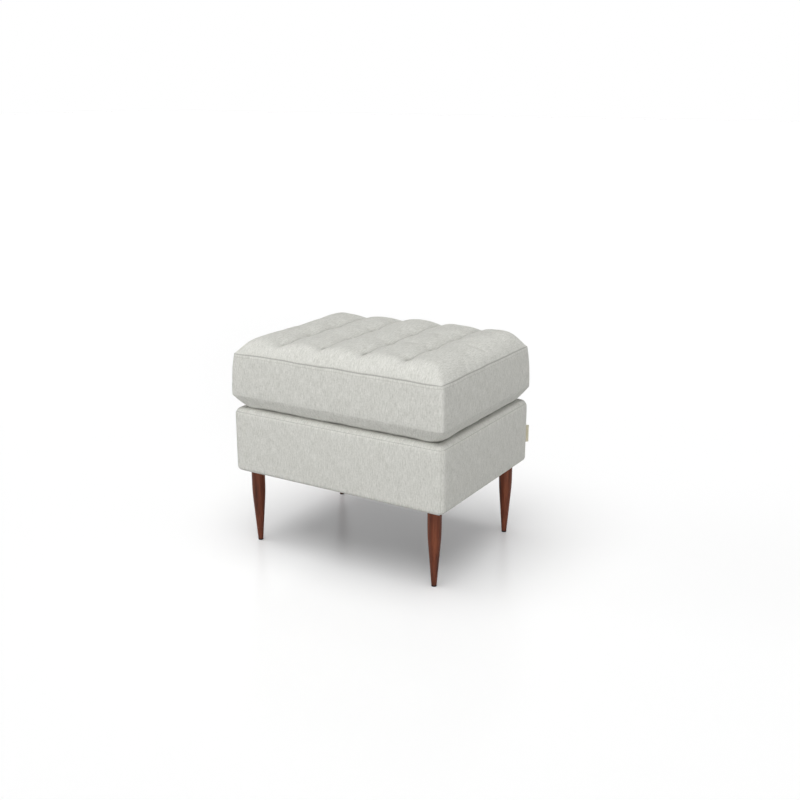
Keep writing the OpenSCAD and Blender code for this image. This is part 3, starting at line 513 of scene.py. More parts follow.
FOAM = make_stuffing("cushion_foam", tone(222, 204, 150), tone(240, 228, 188), 0.0012, 0.0006)
FIBRE = make_stuffing("polyester_fibre", tone(226, 226, 221), tone(246, 246, 243), 0.0040, 0.0020)
TWINE = make_stuffing("waxed_twine", tone(206, 202, 188), tone(236, 233, 222), 0.0006, 0.0003, 0.8)
PLASTIC = make_stuffing("black_plastic", tone(16, 14, 13), tone(30, 27, 26), 0.0009, 0.00005, 0.45)
print("Stuffings:", FOAM.name, FIBRE.name, TWINE.name, PLASTIC.name)

# %% [markdown]
# ## Tools of the workbench
# Blender's operators act on what is selected, and the frame's nodes arrive selected, so each tool first
# takes one piece alone. In edit mode, faces and edges are chosen by their place, as a hand would choose
# them. A finished piece gets its finish, is told which body carries it, and hides the nodes that it
# stands for.

# %% Take and edit a piece
def take(*pieces):
    """Selects these pieces alone; the first is the active one."""
    if bpy.context.object and bpy.context.object.mode != "OBJECT":
        bpy.ops.object.mode_set(mode="OBJECT")
    bpy.ops.object.select_all(action="DESELECT")
    for piece in pieces:
        piece.select_set(True)
    bpy.context.view_layer.objects.active = pieces[0]


def edit(piece, mode="VERT"):
    """Opens a piece in edit mode with nothing selected."""
    take(piece)
    bpy.ops.object.mode_set(mode="EDIT")
    bpy.ops.mesh.select_mode(type=mode)
    bpy.ops.mesh.select_all(action="DESELECT")


def close():
    bpy.ops.object.mode_set(mode="OBJECT")


def select_faces(piece, wanted):
    """In edit mode, selects the faces whose centre passes the test."""
    mesh = bmesh.from_edit_mesh(piece.data)
    for face in mesh.faces:
        face.select_set(wanted(face.calc_center_median()))
    bmesh.update_edit_mesh(piece.data)


def drop_selection(piece, unwanted):
    """In edit mode, leaves out the selected edges whose centre passes the test."""
    mesh = bmesh.from_edit_mesh(piece.data)
    for edge in mesh.edges:
        if edge.select and unwanted((edge.verts[0].co + edge.verts[1].co) / 2):
            edge.select_set(False)
    bmesh.update_edit_mesh(piece.data)


# %% Finish a piece
def tidy_normals(piece, merge=1e-5):
    """Merges doubles and turns every face outwards."""
    edit(piece)
    bpy.ops.mesh.select_all(action="SELECT")
    bpy.ops.mesh.remove_doubles(threshold=merge)
    bpy.ops.mesh.normals_make_consistent(inside=False)
    close()


def settle(piece):
    """Puts the piece's place, turn and size into its mesh."""
    take(piece)
    bpy.ops.object.transform_apply(location=True, rotation=True, scale=True)


def modify(piece, kind, **settings):
    """Adds a modifier, sets it and applies it."""
    take(piece)
    made = piece.modifiers.new(kind.title(), kind)
    for name, value in settings.items():
        setattr(made, name, value)
    bpy.ops.object.modifier_apply(modifier=made.name)


def smooth(piece, angle=40):
    """Shades a piece smooth, except over edges sharper than this many degrees."""
    take(piece)
    bpy.ops.object.shade_smooth_by_angle(angle=radians(angle))


def dress(piece, body, slot, material, *nodes):
    """Gives a piece its material, its body and the nodes that it stands for. The slot is not used."""
    piece.data.materials.clear()
    piece.data.materials.append(material)
    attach(piece, body)
    if nodes:
        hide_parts(*nodes)
    piece.data.name = piece.name
    print(piece.name, "has", len(piece.data.polygons), "faces")


# %% [markdown]
# ## Laying and wrapping cloth
# Real panels start as flat cuts on a table. A panel could also be modelled in place and unwrapped
# afterwards, but an unwrapping stretches the weave in ways that are hard to steer. So each cloth piece
# starts flat here too: its map keeps each spot's place on the cut, in metres, and then the grid is
# wrapped round its form.

# %% Grid lines and the flat cut
def even(start, end, count):
    """Lines at even steps, both ends among them."""
    return [start + (end - start) * step / count for step in range(count + 1)]


def crowded(start, end, count, power=1.35):
    """Lines after start up to end, closer and closer towards end."""
    return [end - (end - start) * (1 - step / count) ** power for step in range(1, count + 1)]


def lay_cloth(name, across, up):
    """A flat cut of cloth, with its grid lines at the given places in metres."""
    bpy.ops.mesh.primitive_grid_add(x_subdivisions=len(across) - 1, y_subdivisions=len(up) - 1, size=2)
    piece = bpy.context.object
    piece.name = name
    for vertex in piece.data.vertices:
        column = round((vertex.co.x + 1) / 2 * (len(across) - 1))
        row = round((vertex.co.y + 1) / 2 * (len(up) - 1))
        vertex.co = (across[column], up[row], 0)
    keep_cut_map(piece)
    return piece


def keep_cut_map(piece):
    """Writes each corner's flat place into the cut's map."""
    cut = piece.data.uv_layers[0]
    cut.name = CUT_MAP
    for loop in piece.data.loops:
        place = piece.data.vertices[loop.vertex_index].co
        cut.data[loop.index].uv = (place.x, place.y)


print("Lines crowded towards 1:", [round(line, 2) for line in crowded(0, 1, 4)])


# %% A walk round a box with round corners
def way_round(half, radius):
    """Length of a walk once round a box with these half sizes and round corners."""
    return 4 * (half.x + half.y - 2 * radius) + 2 * pi * radius


def round_the_box(walk, out, half, radius):
    """Where a walk round a box with round corners gets to, `out` metres outside it.

    The walk starts in the middle of the front and turns right, along the right side.
    """
    arc = radius * pi / 2
    sides = [
        (Vector((1, 0)), Vector((0, -1)), half.x, half.y),
        (Vector((0, 1)), Vector((1, 0)), half.y, half.x),
        (Vector((-1, 0)), Vector((0, 1)), half.x, half.y),
        (Vector((0, -1)), Vector((-1, 0)), half.y, half.x),
    ]
    left = (walk + half.x - radius) % way_round(half, radius)
    for ahead, outwards, reach, distance in sides:
        straight = 2 * (reach - radius)
        if left <= straight + arc:
            break
        left -= straight + arc
    turn_radius = max(0.0, radius + out)
    limit = reach - radius + min(0.0, radius + out)
    if left <= straight:
        along = max(-limit, min(limit, left - straight / 2))
        return ahead * along + outwards * (distance + out)
    angle = (left - straight) / radius
    corner = ahead * limit + outwards * (distance + out - turn_radius)
    return corner + (outwards * cos(angle) + ahead * sin(angle)) * turn_radius


def unevenness(x, y, layer, size, depth):
    """Hand-made unevenness: soft noise of this size and depth in metres, from a layer of its own."""
    return depth * noise.noise(Vector((x, y, layer)) / size)


print("Way round a square metre with sharp corners:", way_round(Vector((0.5, 0.5)), 0.0), "m")

# %% [markdown]
# ## The cushion's cover
# The cushion is a box cushion: a tufted top panel, a band round the sides, and an underside whose edge
# slopes in to where the cushion rests. It could be made of separate panels, but a cloth simulation needs
# a closed skin to hold its air. So all the cloth is one skin: the top starts as a flat grid with lines
# through the 4 by 4 tufts, its border is extruded down row by row, and the bottom is closed. Then the
# skin is wrapped onto its form, slightly slack, and the pressure fills the lobes between the pinned tufts
# as stuffing does.

# %% Sizes of the cushion, from the frame
top_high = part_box("cushion_top")[1]
band_low, band_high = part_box("cushion_front_band")
twine_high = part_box("tuft_twine")[1]
TWINE_RADIUS = 0.0008
SEAM_HALF = Vector((top_high.x, top_high.y))
TOP_SEAM = band_high.z
LOW_SEAM = band_low.z
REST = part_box("cushion_underside")[0].z
BOW = (-band_low.y - SEAM_HALF.y) * 0.5     # how far the filled band swells between its seams
DRAW_IN = 0.0030                            # how far the filled top draws its seam in
LOW_OUT = 0.0020                            # how far the low seam stands out
BAND = TOP_SEAM - LOW_SEAM
SEAM_RADIUS = 0.008
REST_RADIUS = 0.009                         # the round edge on which the cushion rests
SLOPE_ANGLE = radians(56)                   # how steeply the underside slopes in above that edge
SLOPE_SWELL = 0.0006
REST_DROP = REST_RADIUS * (1 - cos(SLOPE_ANGLE))
SLOPE_DROP = LOW_SEAM - REST - REST_DROP
SLOPE_IN = SLOPE_DROP / tan(SLOPE_ANGLE)
SLOPE = hypot(SLOPE_IN, SLOPE_DROP)
REST_ARC = REST_RADIUS * SLOPE_ANGLE
REST_IN = SLOPE_IN + REST_RADIUS * sin(SLOPE_ANGLE)
UNDERSIDE = BAND + SLOPE + REST_ARC         # way down the skin from the top seam to the flat underside
TUFTS = 4
TUFT_EDGE = Vector((twine_high.x - TWINE_RADIUS, twine_high.y - TWINE_RADIUS))
tuft_x = even(-TUFT_EDGE.x, TUFT_EDGE.x, TUFTS - 1)
tuft_y = even(-TUFT_EDGE.y, TUFT_EDGE.y, TUFTS - 1)
print("Tufts at x", [round(x, 4) for x in tuft_x], "and y", [round(y, 4) for y in tuft_y])

# %% Rows and columns of the cut
CELLS_ACROSS = 18           # grid cells from tuft to tuft
CELLS_UP = 17
EDGE_CELLS_ACROSS = 20      # grid cells from the outer tufts to the seam
EDGE_CELLS_UP = 12
ZIP_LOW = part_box("cushion_back_band_lower")[1].z
ZIP_HIGH = TOP_SEAM + LOW_SEAM - ZIP_LOW
REST_RINGS = (0.004, 0.010, 0.020, 0.040)   # rows on the flat underside, in from its edge
STITCH_LINE = 0.0065        # how far below the top seam the band is stitched down
NEAR = 0.0008               # lines this near to a seam or a row of stitches keep it crisp


def cut_lines(half, tuft, cells, edge_cells):
    """Grid lines from seam to seam that pass through every tuft."""
    inner = even(-tuft, tuft, cells * (TUFTS - 1))
    outer = crowded(tuft, half, edge_cells)
    return [-line for line in reversed(outer)] + inner + outer


def side_rows():
    """How far each row of the sides lies below the top seam, measured along the skin."""
    high, low = TOP_SEAM - ZIP_HIGH, TOP_SEAM - ZIP_LOW
    stitched = [STITCH_LINE / 3, STITCH_LINE - NEAR, STITCH_LINE, STITCH_LINE + NEAR]
    upper = stitched + even(STITCH_LINE + NEAR, high, 6)[1:]
    lower = even(low, BAND - NEAR, 8)[1:] + [BAND]
    slope = [BAND + NEAR] + even(BAND + NEAR, BAND + SLOPE, 6)[1:]
    rest = even(BAND + SLOPE, UNDERSIDE, 4)[1:]
    rings = [UNDERSIDE + ring for ring in REST_RINGS]
    return upper + [(high + low) / 2, low] + lower + slope + rest + rings


print("Rows down the sides:", len(side_rows()))


# %% The flat cut and its border
def cut_cover():
    """The top panel with its border extruded straight down, row by row."""
    across = cut_lines(SEAM_HALF.x, TUFT_EDGE.x, CELLS_ACROSS, EDGE_CELLS_ACROSS)
    up = cut_lines(SEAM_HALF.y, TUFT_EDGE.y, CELLS_UP, EDGE_CELLS_UP)
    cover = lay_cloth("cushion_cover", across, up)
    edit(cover, "EDGE")
    bpy.ops.mesh.select_non_manifold()
    above = 0
    for row in side_rows():
        bpy.ops.mesh.extrude_edges_move(TRANSFORM_OT_translate={"value": (0, 0, above - row)})
        above = row
    bpy.ops.mesh.select_all(action="SELECT")
    bpy.ops.mesh.normals_make_consistent(inside=False)
    bpy.ops.uv.cube_project(cube_size=1, correct_aspect=False)
    close()
    return cover


cover = cut_cover()
cut_places = [vertex.co.copy() for vertex in cover.data.vertices]
print("Cut of the cover:", len(cut_places), "points")

# %% [markdown]
# ## The form of the cushion
# The real top is pulled down at sixteen tufts, and the cloth between them lies in folds: deep ones from
# front to back, faint ones across, and a small pit at each tuft. Sculpting each fold by hand would make
# them all differ in depth by accident. A few functions say instead where the skin lies before it is
# filled, so one number changes every fold alike. The top rises from the seam like a pillow, and the sides
# swell a little between the seams and slope in underneath.

# %% Folds and pits
CROWN = 0.0410              # height of the slack top above its seam
LEAN = 0.0080               # the stuffing lies lower on the left, where it has settled
CROWN_REACH = 0.066         # how far in from the seam the top still rises
CROWN_POWER = 3.3
FOLD_DEPTH = 0.0084         # folds from front to back
FOLD_WIDTH = 0.0135
FOLD_FRONT = (0.000, 0.055)     # how far before the last tuft a fold begins to fade, and over what length
FOLD_BACK = (-0.010, 0.055)     # less than 0 is beyond that tuft
CROSS_DEPTH = 0.0012        # folds from side to side
CROSS_FADE = (0.0, 0.030)
PIT_DEPTH = 0.0120          # pits at the tufts, longer from front to back
PIT_WIDTH = 0.0090
PIT_LENGTH = 0.0175


def pillow(gap):
    """Rise from the seam, 0, to the flat of the top, 1."""
    return 1 - (1 - min(1.0, max(0.0, gap) / CROWN_REACH)) ** CROWN_POWER


def nearest(value, lines):
    return min(lines, key=lambda line: abs(line - value))


def fades(value, last, before, reach):
    """1 in the middle, fading softly to 0 over the reach that begins before the last tuft."""
    share = max(0.0, min(1.0, 1 - (abs(value) - last + before) / reach))
    return share * share * (3 - 2 * share)


def fold_drop(x, y):
    """How far the folds and the tufts draw the top down here, in metres."""
    to_fold = abs(x - nearest(x, tuft_x))
    to_cross = abs(y - nearest(y, tuft_y))
    to_tuft = hypot(to_fold / PIT_WIDTH, to_cross / PIT_LENGTH)
    fold_end = FOLD_BACK if y > 0 else FOLD_FRONT
    fold = FOLD_DEPTH * exp(-to_fold / FOLD_WIDTH) * fades(y, TUFT_EDGE.y, *fold_end)
    cross = CROSS_DEPTH * exp(-to_cross / FOLD_WIDTH) * fades(x, TUFT_EDGE.x, *CROSS_FADE)
    return fold + cross + PIT_DEPTH * exp(-to_tuft)


def top_height(x, y):
    rise = pillow(SEAM_HALF.x - abs(x)) * pillow(SEAM_HALF.y - abs(y))
    settled = LEAN * max(0.0, min(1.0, -x / TUFT_EDGE.x))
    return TOP_SEAM + rise * (CROWN - settled - fold_drop(x, y))


print("A tuft lies", round(fold_drop(TUFT_EDGE.x, TUFT_EDGE.y) * 1000, 1), "mm below the crown")

# %% Sides and round corners
CORNER_GROWTH = 0.8         # how much rounder the corner gets for each metre that the outline is drawn in


def side_profile(down):
    """How far out of the seams' outline, and how high, the skin is, this far below the top seam."""
    if down <= BAND:
        share = down / BAND
        seams = LOW_OUT * share - DRAW_IN * (1 - share)
        return seams + BOW * (1 - (2 * share - 1) ** 2), TOP_SEAM - down
    if down <= BAND + SLOPE:
        share = (down - BAND) / SLOPE
        return LOW_OUT + SLOPE_SWELL * sin(pi * share) - SLOPE_IN * share, LOW_SEAM - SLOPE_DROP * share
    if down <= UNDERSIDE:
        angle = SLOPE_ANGLE - (down - BAND - SLOPE) / REST_RADIUS
        return LOW_OUT - REST_IN + REST_RADIUS * sin(angle), REST + REST_RADIUS * (1 - cos(angle))
    return LOW_OUT - REST_IN - (down - UNDERSIDE), REST


def drawn(value, tuft, half, out):
    """A place beyond the outer tufts, moved so that the outline comes `out` metres outside half."""
    beyond = max(0.0, abs(value) - tuft) / (half - tuft)
    return value + (out * beyond if value > 0 else -out * beyond)


def round_corner(x, y, out):
    """Moves a place of the square cut onto the round corner, then out of the outline."""
    radius = SEAM_RADIUS + max(-CORNER_GROWTH * out, 0.0)
    half_x, half_y = SEAM_HALF.x + out, SEAM_HALF.y + out
    x, y = drawn(x, TUFT_EDGE.x, SEAM_HALF.x, out), drawn(y, TUFT_EDGE.y, SEAM_HALF.y, out)
    in_x, in_y = abs(x) - (half_x - radius), abs(y) - (half_y - radius)
    if in_x <= 0 or in_y <= 0:
        return x, y
    size = max(in_x, in_y)
    angle = pi / 4 * (in_y / in_x) if in_x >= in_y else pi / 2 - pi / 4 * (in_x / in_y)
    sign_x, sign_y = (1 if x > 0 else -1), (1 if y > 0 else -1)
    return sign_x * (half_x - radius + size * cos(angle)), sign_y * (half_y - radius + size * sin(angle))


print("The low seam stands out", round(side_profile(BAND)[0] * 1000, 1), "mm")

# %% Wrap the cut onto the form
SAME = 1e-5                 # places nearer to each other than this, in metres, are one
SKIN_STEPS = 60


def on_top(cut):
    return cut.z > -SAME


def cover_place(cut):
    """Where a point of the cut lies on the form."""
    if on_top(cut):
        x, y = round_corner(cut.x, cut.y, -DRAW_IN)
        return Vector((x, y, top_height(cut.x, cut.y)))
    out, height = side_profile(-cut.z)
    x, y = round_corner(cut.x, cut.y, out)
    return Vector((x, y, height))


def along_skin(value, half):
    """Length along the crown from the middle of the top to this line, so that no thread is stretched."""
    steps = even(0.0, abs(value), SKIN_STEPS)
    rises = [CROWN * pillow(half - step) for step in steps]
    length = sum(hypot(steps[i + 1] - steps[i], rises[i + 1] - rises[i]) for i in range(SKIN_STEPS))
    return length if value > 0 else -length


def map_top(piece):
    """Writes the top panel's lengths along the skin into the map of the cut."""
    across = {round(cut.x, 6): along_skin(cut.x, SEAM_HALF.x) for cut in cut_places}
    up = {round(cut.y, 6): along_skin(cut.y, SEAM_HALF.y) for cut in cut_places}
    for face in piece.data.polygons:
        if all(on_top(cut_places[index]) for index in face.vertices):
            for loop in face.loop_indices:
                cut = cut_places[piece.data.loops[loop].vertex_index]
                place = (across[round(cut.x, 6)], up[round(cut.y, 6)])
                piece.data.uv_layers[CUT_MAP].data[loop].uv = place


def highest(piece):
    return round(max(vertex.co.z for vertex in piece.data.vertices), 4)


map_top(cover)
for vertex, cut in zip(cover.data.vertices, cut_places):
    vertex.co = cover_place(cut)
print("Top of the slack cover:", highest(cover))

# %% [markdown]
# ## Filling the cover
# Stuffing presses the cloth outwards between its seams and tufts. Inflating along the normals would do it
# evenly, but real lobes are fullest in their middle and pull tight where they are held, which a cloth
# simulation with air pressure gives. The pins are the tufts, the folds between them, both seams and the
# part that rests on the base. The rest is free. After twenty frames of pressure each point is held to a
# small travel, larger on the lobes of the top than on the firm sides.

# %% Pins
PIN_REACH = 0.0035          # cloth this near to a tuft is pinned with it


def is_seam(cut):
    at_edge = abs(abs(cut.x) - SEAM_HALF.x) < SAME or abs(abs(cut.y) - SEAM_HALF.y) < SAME
    return abs(cut.z + BAND) < SAME or (on_top(cut) and at_edge)


def lies_flat(cut):
    """Whether this point belongs to the flat underside, which rests on the base."""
    return cut.z < SAME - UNDERSIDE


def is_pinned(cut):
    to_fold = abs(cut.x - nearest(cut.x, tuft_x))
    at_tuft = hypot(to_fold, cut.y - nearest(cut.y, tuft_y)) < PIN_REACH
    in_fold = to_fold < SAME and abs(cut.y) < TUFT_EDGE.y
    return on_top(cut) and (at_tuft or in_fold) or is_seam(cut) or lies_flat(cut)


pinned = [index for index, cut in enumerate(cut_places) if is_pinned(cut)]
print("Pinned points of the cover:", len(pinned))

# %% Pressure and the limit on travel
CLOTH_SETTINGS = {
    "use_pressure": True,
    "uniform_pressure_force": 4.0,
    "quality": 5,
    "mass": 0.3,
    "bending_stiffness": 2.0,
    "shrink_min": -0.004,   # the share by which the cloth shrinks: less than 0 is slack
}
LAST_FRAME = 20
TOP_TRAVEL = 0.008
SIDE_TRAVEL = 0.0008


def run_simulation():
    take(cover)
    pins = cover.vertex_groups.new(name="pins")
    pins.add(pinned, 1.0, "REPLACE")
    cloth = cover.modifiers.new("Cloth", "CLOTH")
    for name, value in CLOTH_SETTINGS.items():
        setattr(cloth.settings, name, value)
    cloth.settings.vertex_group_mass = pins.name
    cloth.settings.effector_weights.gravity = 0
    cloth.point_cache.frame_start = 1
    cloth.point_cache.frame_end = LAST_FRAME
    for number in range(1, LAST_FRAME + 1):
        bpy.context.scene.frame_set(number)
    bpy.ops.object.modifier_apply(modifier=cloth.name)
    bpy.context.scene.frame_set(1)
    cover.vertex_groups.clear()


def fill_cover():
    """Fills the cover, and holds each point to its travel."""
    before = [vertex.co.copy() for vertex in cover.data.vertices]
    run_simulation()
    farthest = 0.0
    for vertex, start, cut in zip(cover.data.vertices, before, cut_places):
        moved = vertex.co - start
        farthest = max(farthest, moved.length)
        allowed = TOP_TRAVEL if on_top(cut) else SIDE_TRAVEL
        vertex.co = start + moved * min(1.0, allowed / max(moved.length, 1e-9))
    print("The filling moved the skin by up to", round(farthest * 1000, 1), "mm")


fill_cover()
print("Top of the filled cover:", highest(cover))

# %% [markdown]
# ## Seams of the cover
# A seam pulls the cloth into a narrow groove. Bevelled edges would give a groove of one width everywhere
# and cost faces, so the rows of points that lie on the seams are pushed in instead. They carry an
# attribute that the material reads to paint shade into the groove, and so do the tufts and the folds;
# the edge on which the cushion rests gets a darker painted shadow. The band's upright corners have no
# seam: the band runs round them. One subdivision then smooths the skin.

# %% Painted shade on the cloth
LOW_SEAM_SHADE = 0.55       # the low seam lies in the shade anyway
STITCH_SHADE = 0.60
PAINTED_CONTACT_SHADOW = 1.15        # painted shadow where the cushion rests on the base
CONTACT_HALF = REST_ARC * 0.6   # half the width of the darkest strip there
CONTACT_REACH = 0.0045
CREASE_SHADE = 0.55         # painted shade in the folds between the tufts
CREASE_WIDTH = 0.003
TUFT_SHADE = 2.2            # painted shade at a tuft; above 1, so that its middle is fully dark
TUFT_SHADE_WIDTH = 0.005
TUFT_SHADE_LENGTH = 0.011
TUFT_SHADE_END = 0.020      # no crease is dark this far beyond the outer tufts


def on_stitch_line(cut):
    return abs(cut.z + STITCH_LINE) < SAME


def crease_share(cut):
    """How much painted shade the folds and the tufts give this point of the top."""
    to_fold, to_cross = cut.x - nearest(cut.x, tuft_x), cut.y - nearest(cut.y, tuft_y)
    crease = CREASE_SHADE * exp(-(to_fold / CREASE_WIDTH) ** 2) if abs(cut.y) < TUFT_EDGE.y else 0.0
    tuft = TUFT_SHADE * exp(-(to_fold / TUFT_SHADE_WIDTH) ** 2 - (to_cross / TUFT_SHADE_LENGTH) ** 2)
    return max(crease, min(1.0, tuft))


def painted_shade_share(cut):
    """Painted shade at this point: 1 in a groove, and more, a painted shadow, where the cushion rests."""
    if is_seam(cut):
        return 1.0 if on_top(cut) else LOW_SEAM_SHADE
    if on_stitch_line(cut):
        return STITCH_SHADE
    above_rest = cut.z + UNDERSIDE
    if -CONTACT_HALF < above_rest < CONTACT_REACH * 4:
        return PAINTED_CONTACT_SHADOW * min(1.0, exp((CONTACT_HALF - above_rest) / CONTACT_REACH))
    if on_top(cut) and abs(cut.y) <= TUFT_EDGE.y + TUFT_SHADE_END:
        return crease_share(cut)
    return 0.0


def mark_painted_shade(piece, shares):
    """Writes a share of painted shade for each point into the attribute that the cloth's material reads."""
    seam = piece.data.attributes.new("seam", "FLOAT", "POINT")
    seam.data.foreach_set("value", shares)


cover_shares = [painted_shade_share(cut) for cut in cut_places]
mark_painted_shade(cover, cover_shares)
print("Points that lie darker:", sum(share > PAINTED_SHADE_START for share in cover_shares))

# %% Grooves
GROOVE = 0.0011             # depth of the top seam
LOW_GROOVE = 0.0004
STITCH_GROOVE = 0.0004
CUSHION_WAVES = (0.3, 0.045, 0.0016)    # layer of the noise, size of the waves, their depth
CORNER_END = 0.004          # nearer to a corner than this, a seam is pushed in towards the middle


def groove_depth(cut):
    if on_stitch_line(cut):
        return STITCH_GROOVE
    return GROOVE if on_top(cut) else LOW_GROOVE


def groove_direction(cut, place):
    """Square to the side on which the seam runs, and towards the middle at a corner."""
    if abs(cut.x) < SEAM_HALF.x - CORNER_END and abs(cut.y) > SEAM_HALF.y - SAME:
        return Vector((0, -1 if cut.y > 0 else 1, 0))
    if abs(cut.y) < SEAM_HALF.y - CORNER_END:
        return Vector((-1 if cut.x > 0 else 1, 0, 0))
    return Vector((-place.x, -place.y, 0)).normalized()


for vertex, cut in zip(cover.data.vertices, cut_places):
    if not lies_flat(cut):
        vertex.co.z += unevenness(cut.x, cut.y, *CUSHION_WAVES)
    if is_seam(cut) or on_stitch_line(cut):
        vertex.co += groove_direction(cut, vertex.co) * groove_depth(cut)
print("Seams are", GROOVE * 1000, "mm deep on top and", LOW_GROOVE * 1000, "mm below")

# %% Slot for the zip, subdivision and underside
SLOT_MARGIN = 0.0005        # from the outer stop to the end of the slot
SLOT_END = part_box("zip_stops")[1].x + SLOT_MARGIN
SLOT_TURN_IN = 0.0018
BACK_MARGIN = 0.002         # faces less than this inside the back seam belong to the back band


def in_slot(centre):
    at_back = centre.y > SEAM_HALF.y - BACK_MARGIN
    return at_back and abs(centre.x) < SLOT_END and ZIP_LOW < centre.z < ZIP_HIGH


def open_zip_slot():
    """Cuts the slot for the zip in the back band and turns its edge in."""
    edit(cover, "FACE")
    select_faces(cover, in_slot)
    bpy.ops.mesh.delete(type="FACE")
    bpy.ops.mesh.select_mode(type="EDGE")
    bpy.ops.mesh.select_non_manifold()
    drop_selection(cover, lambda centre: centre.z < LOW_SEAM)
    bpy.ops.mesh.extrude_edges_move(TRANSFORM_OT_translate={"value": (0, -SLOT_TURN_IN, 0)})
    close()


def close_underside():
    """Fills the flat middle of the underside with one face, after the subdivision."""
    edit(cover, "EDGE")
    bpy.ops.mesh.select_non_manifold()
    drop_selection(cover, lambda centre: centre.z > LOW_SEAM)
    bpy.ops.mesh.edge_face_add()
    bpy.ops.uv.cube_project(cube_size=1, correct_aspect=False)
    bpy.ops.mesh.select_all(action="SELECT")
    bpy.ops.mesh.normals_make_consistent(inside=False)
    close()


open_zip_slot()
modify(cover, "SUBSURF", levels=1, render_levels=1)
smooth(cover, 60)
close_underside()
dress(
    cover, "cushion", "cloth", CLOTH, "cushion_top", "cushion_underside", "cushion_front_band",
    "cushion_left_band", "cushion_right_band", "cushion_back_band_upper", "cushion_back_band_lower",
)

# %% [markdown]
# ## Topstitching
# The band is stitched down just under the top seam and along both sides of the zip. A bump in the
# material would vanish at the outline, so each stitch is a small bead of thread, half sunk in the cloth.
# One is modelled, and a copy is laid on the cover wherever a ray from outside meets it.

# %% A stitch, and where it lies
STITCH = 0.0028
STITCH_PITCH = 0.0036
THREAD_RADIUS = 0.00032


def repeat(model, places, name):
    """One piece with a copy of the model, its own mesh, at each place."""
    run = bmesh.new()
    for place in places:
        copy = model.data.copy()
        copy.transform(place)
        run.from_mesh(copy)
        bpy.data.meshes.remove(copy)
    bpy.data.objects.remove(model)
    made = bpy.data.objects.new(name, bpy.data.meshes.new(name))
    run.to_mesh(made.data)
    run.free()
    bpy.context.collection.objects.link(made)
    return made


def make_stitch():
    bpy.ops.mesh.primitive_uv_sphere_add(segments=8, ring_count=6, radius=1)
    stitch = bpy.context.object
    stitch.scale = (STITCH / 2, THREAD_RADIUS, THREAD_RADIUS)
    settle(stitch)
    return stitch


def lay_stitch(tree, outside, along, inwards):
    """Where a stitch lies that runs along a direction, straight inwards from a point outside."""
    place, normal, _, _ = tree.ray_cast(outside, inwards)
    above = along.cross(normal).normalized()
    along = normal.cross(above)
    turn = Matrix((along, normal, above)).transposed().to_4x4()
    return Matrix.Translation(place) @ turn


print("Stitches in 10 cm:", round(0.1 / STITCH_PITCH))

# %% Topstitching
ZIP_MARGIN = 0.0035         # from the slot to its rows of stitches
FAR = 0.02                  # rays start this far outside the seams
ZIP_FAR = 0.03


def band_stitches(tree):
    trip = way_round(SEAM_HALF, SEAM_RADIUS)
    count = int(trip / STITCH_PITCH)
    for number in range(count):
        walk = trip * number / count
        here = round_the_box(walk, 0.0, SEAM_HALF, SEAM_RADIUS)
        far = round_the_box(walk, FAR, SEAM_HALF, SEAM_RADIUS)
        inwards = Vector((here.x - far.x, here.y - far.y, 0)).normalized()
        height = TOP_SEAM - STITCH_LINE + unevenness(here.x, here.y, *CUSHION_WAVES)
        yield lay_stitch(tree, Vector((far.x, far.y, height)), inwards.cross(Vector((0, 0, 1))), inwards)


def zip_stitches(tree):
    count = int(2 * SLOT_END / STITCH_PITCH)
    for height in (ZIP_HIGH + ZIP_MARGIN, ZIP_LOW - ZIP_MARGIN):
        for along in even(-SLOT_END, SLOT_END, count):
            outside = Vector((along, SEAM_HALF.y + ZIP_FAR, height))
            yield lay_stitch(tree, outside, Vector((1, 0, 0)), Vector((0, -1, 0)))


cover_tree = BVHTree.FromPolygons(
    [vertex.co for vertex in cover.data.vertices],
    [face.vertices for face in cover.data.polygons],
)
stitch_places = list(band_stitches(cover_tree)) + list(zip_stitches(cover_tree))
stitches = repeat(make_stitch(), stitch_places, "band_topstitching")
smooth(stitches, 60)
dress(stitches, "cushion", "twine", SEWING_THREAD)
print("Stitches:", len(stitch_places))

# %% [markdown]
# ## The base's side panels
# Each side of the base is one panel of cloth, sewn to its neighbours on the corner's diagonal. It hangs
# from the seam just under the top edge, runs down over the padding, turns round the bottom edge and ends
# as a flap under the rail. The base could be one rounded box, but then its seams would be painted lines.
# So each panel is a flat grid: one way it runs round the box, the other way down the profile, and both
# its edges turn in at the seams.

# %% Sizes of the base, from the frame
front_low, front_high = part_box("front_panel")
BASE_HALF = Vector((-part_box("left_panel")[0].x, -front_low.y))
BASE_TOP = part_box("top_border")[1].z
BASE_SEAM = front_high.z
BASE_FOOT = front_low.z
CORNER_RADIUS = 0.018
EDGE_RADIUS = 0.017
HEM_RADIUS = 0.010
CLOTH_THICKNESS = 0.0015
FLAP = 0.030
edge_low = BASE_TOP - EDGE_RADIUS
seam_angle = asin((BASE_SEAM - edge_low) / EDGE_RADIUS)
print("Base", [round(2 * value, 3) for value in BASE_HALF], "m, seam at", round(BASE_SEAM, 4))

# %% Profile of a side panel
EDGE_PART = EDGE_RADIUS * seam_angle
UPRIGHT = edge_low - (BASE_FOOT + HEM_RADIUS)
HEM_PART = HEM_RADIUS * pi / 2
FLAP_PART = FLAP - HEM_RADIUS
SEAM_LAP = 0.0006           # cloth that runs past the seam, so that no gap shows in it
SEAM_CROWDING = 1.2         # above 1, the grid lines crowd towards a seam


def edge_place(angle):
    """A place on the rounded top edge: how far out of the sides, and how high."""
    return EDGE_RADIUS * (cos(angle) - 1), edge_low + EDGE_RADIUS * sin(angle)


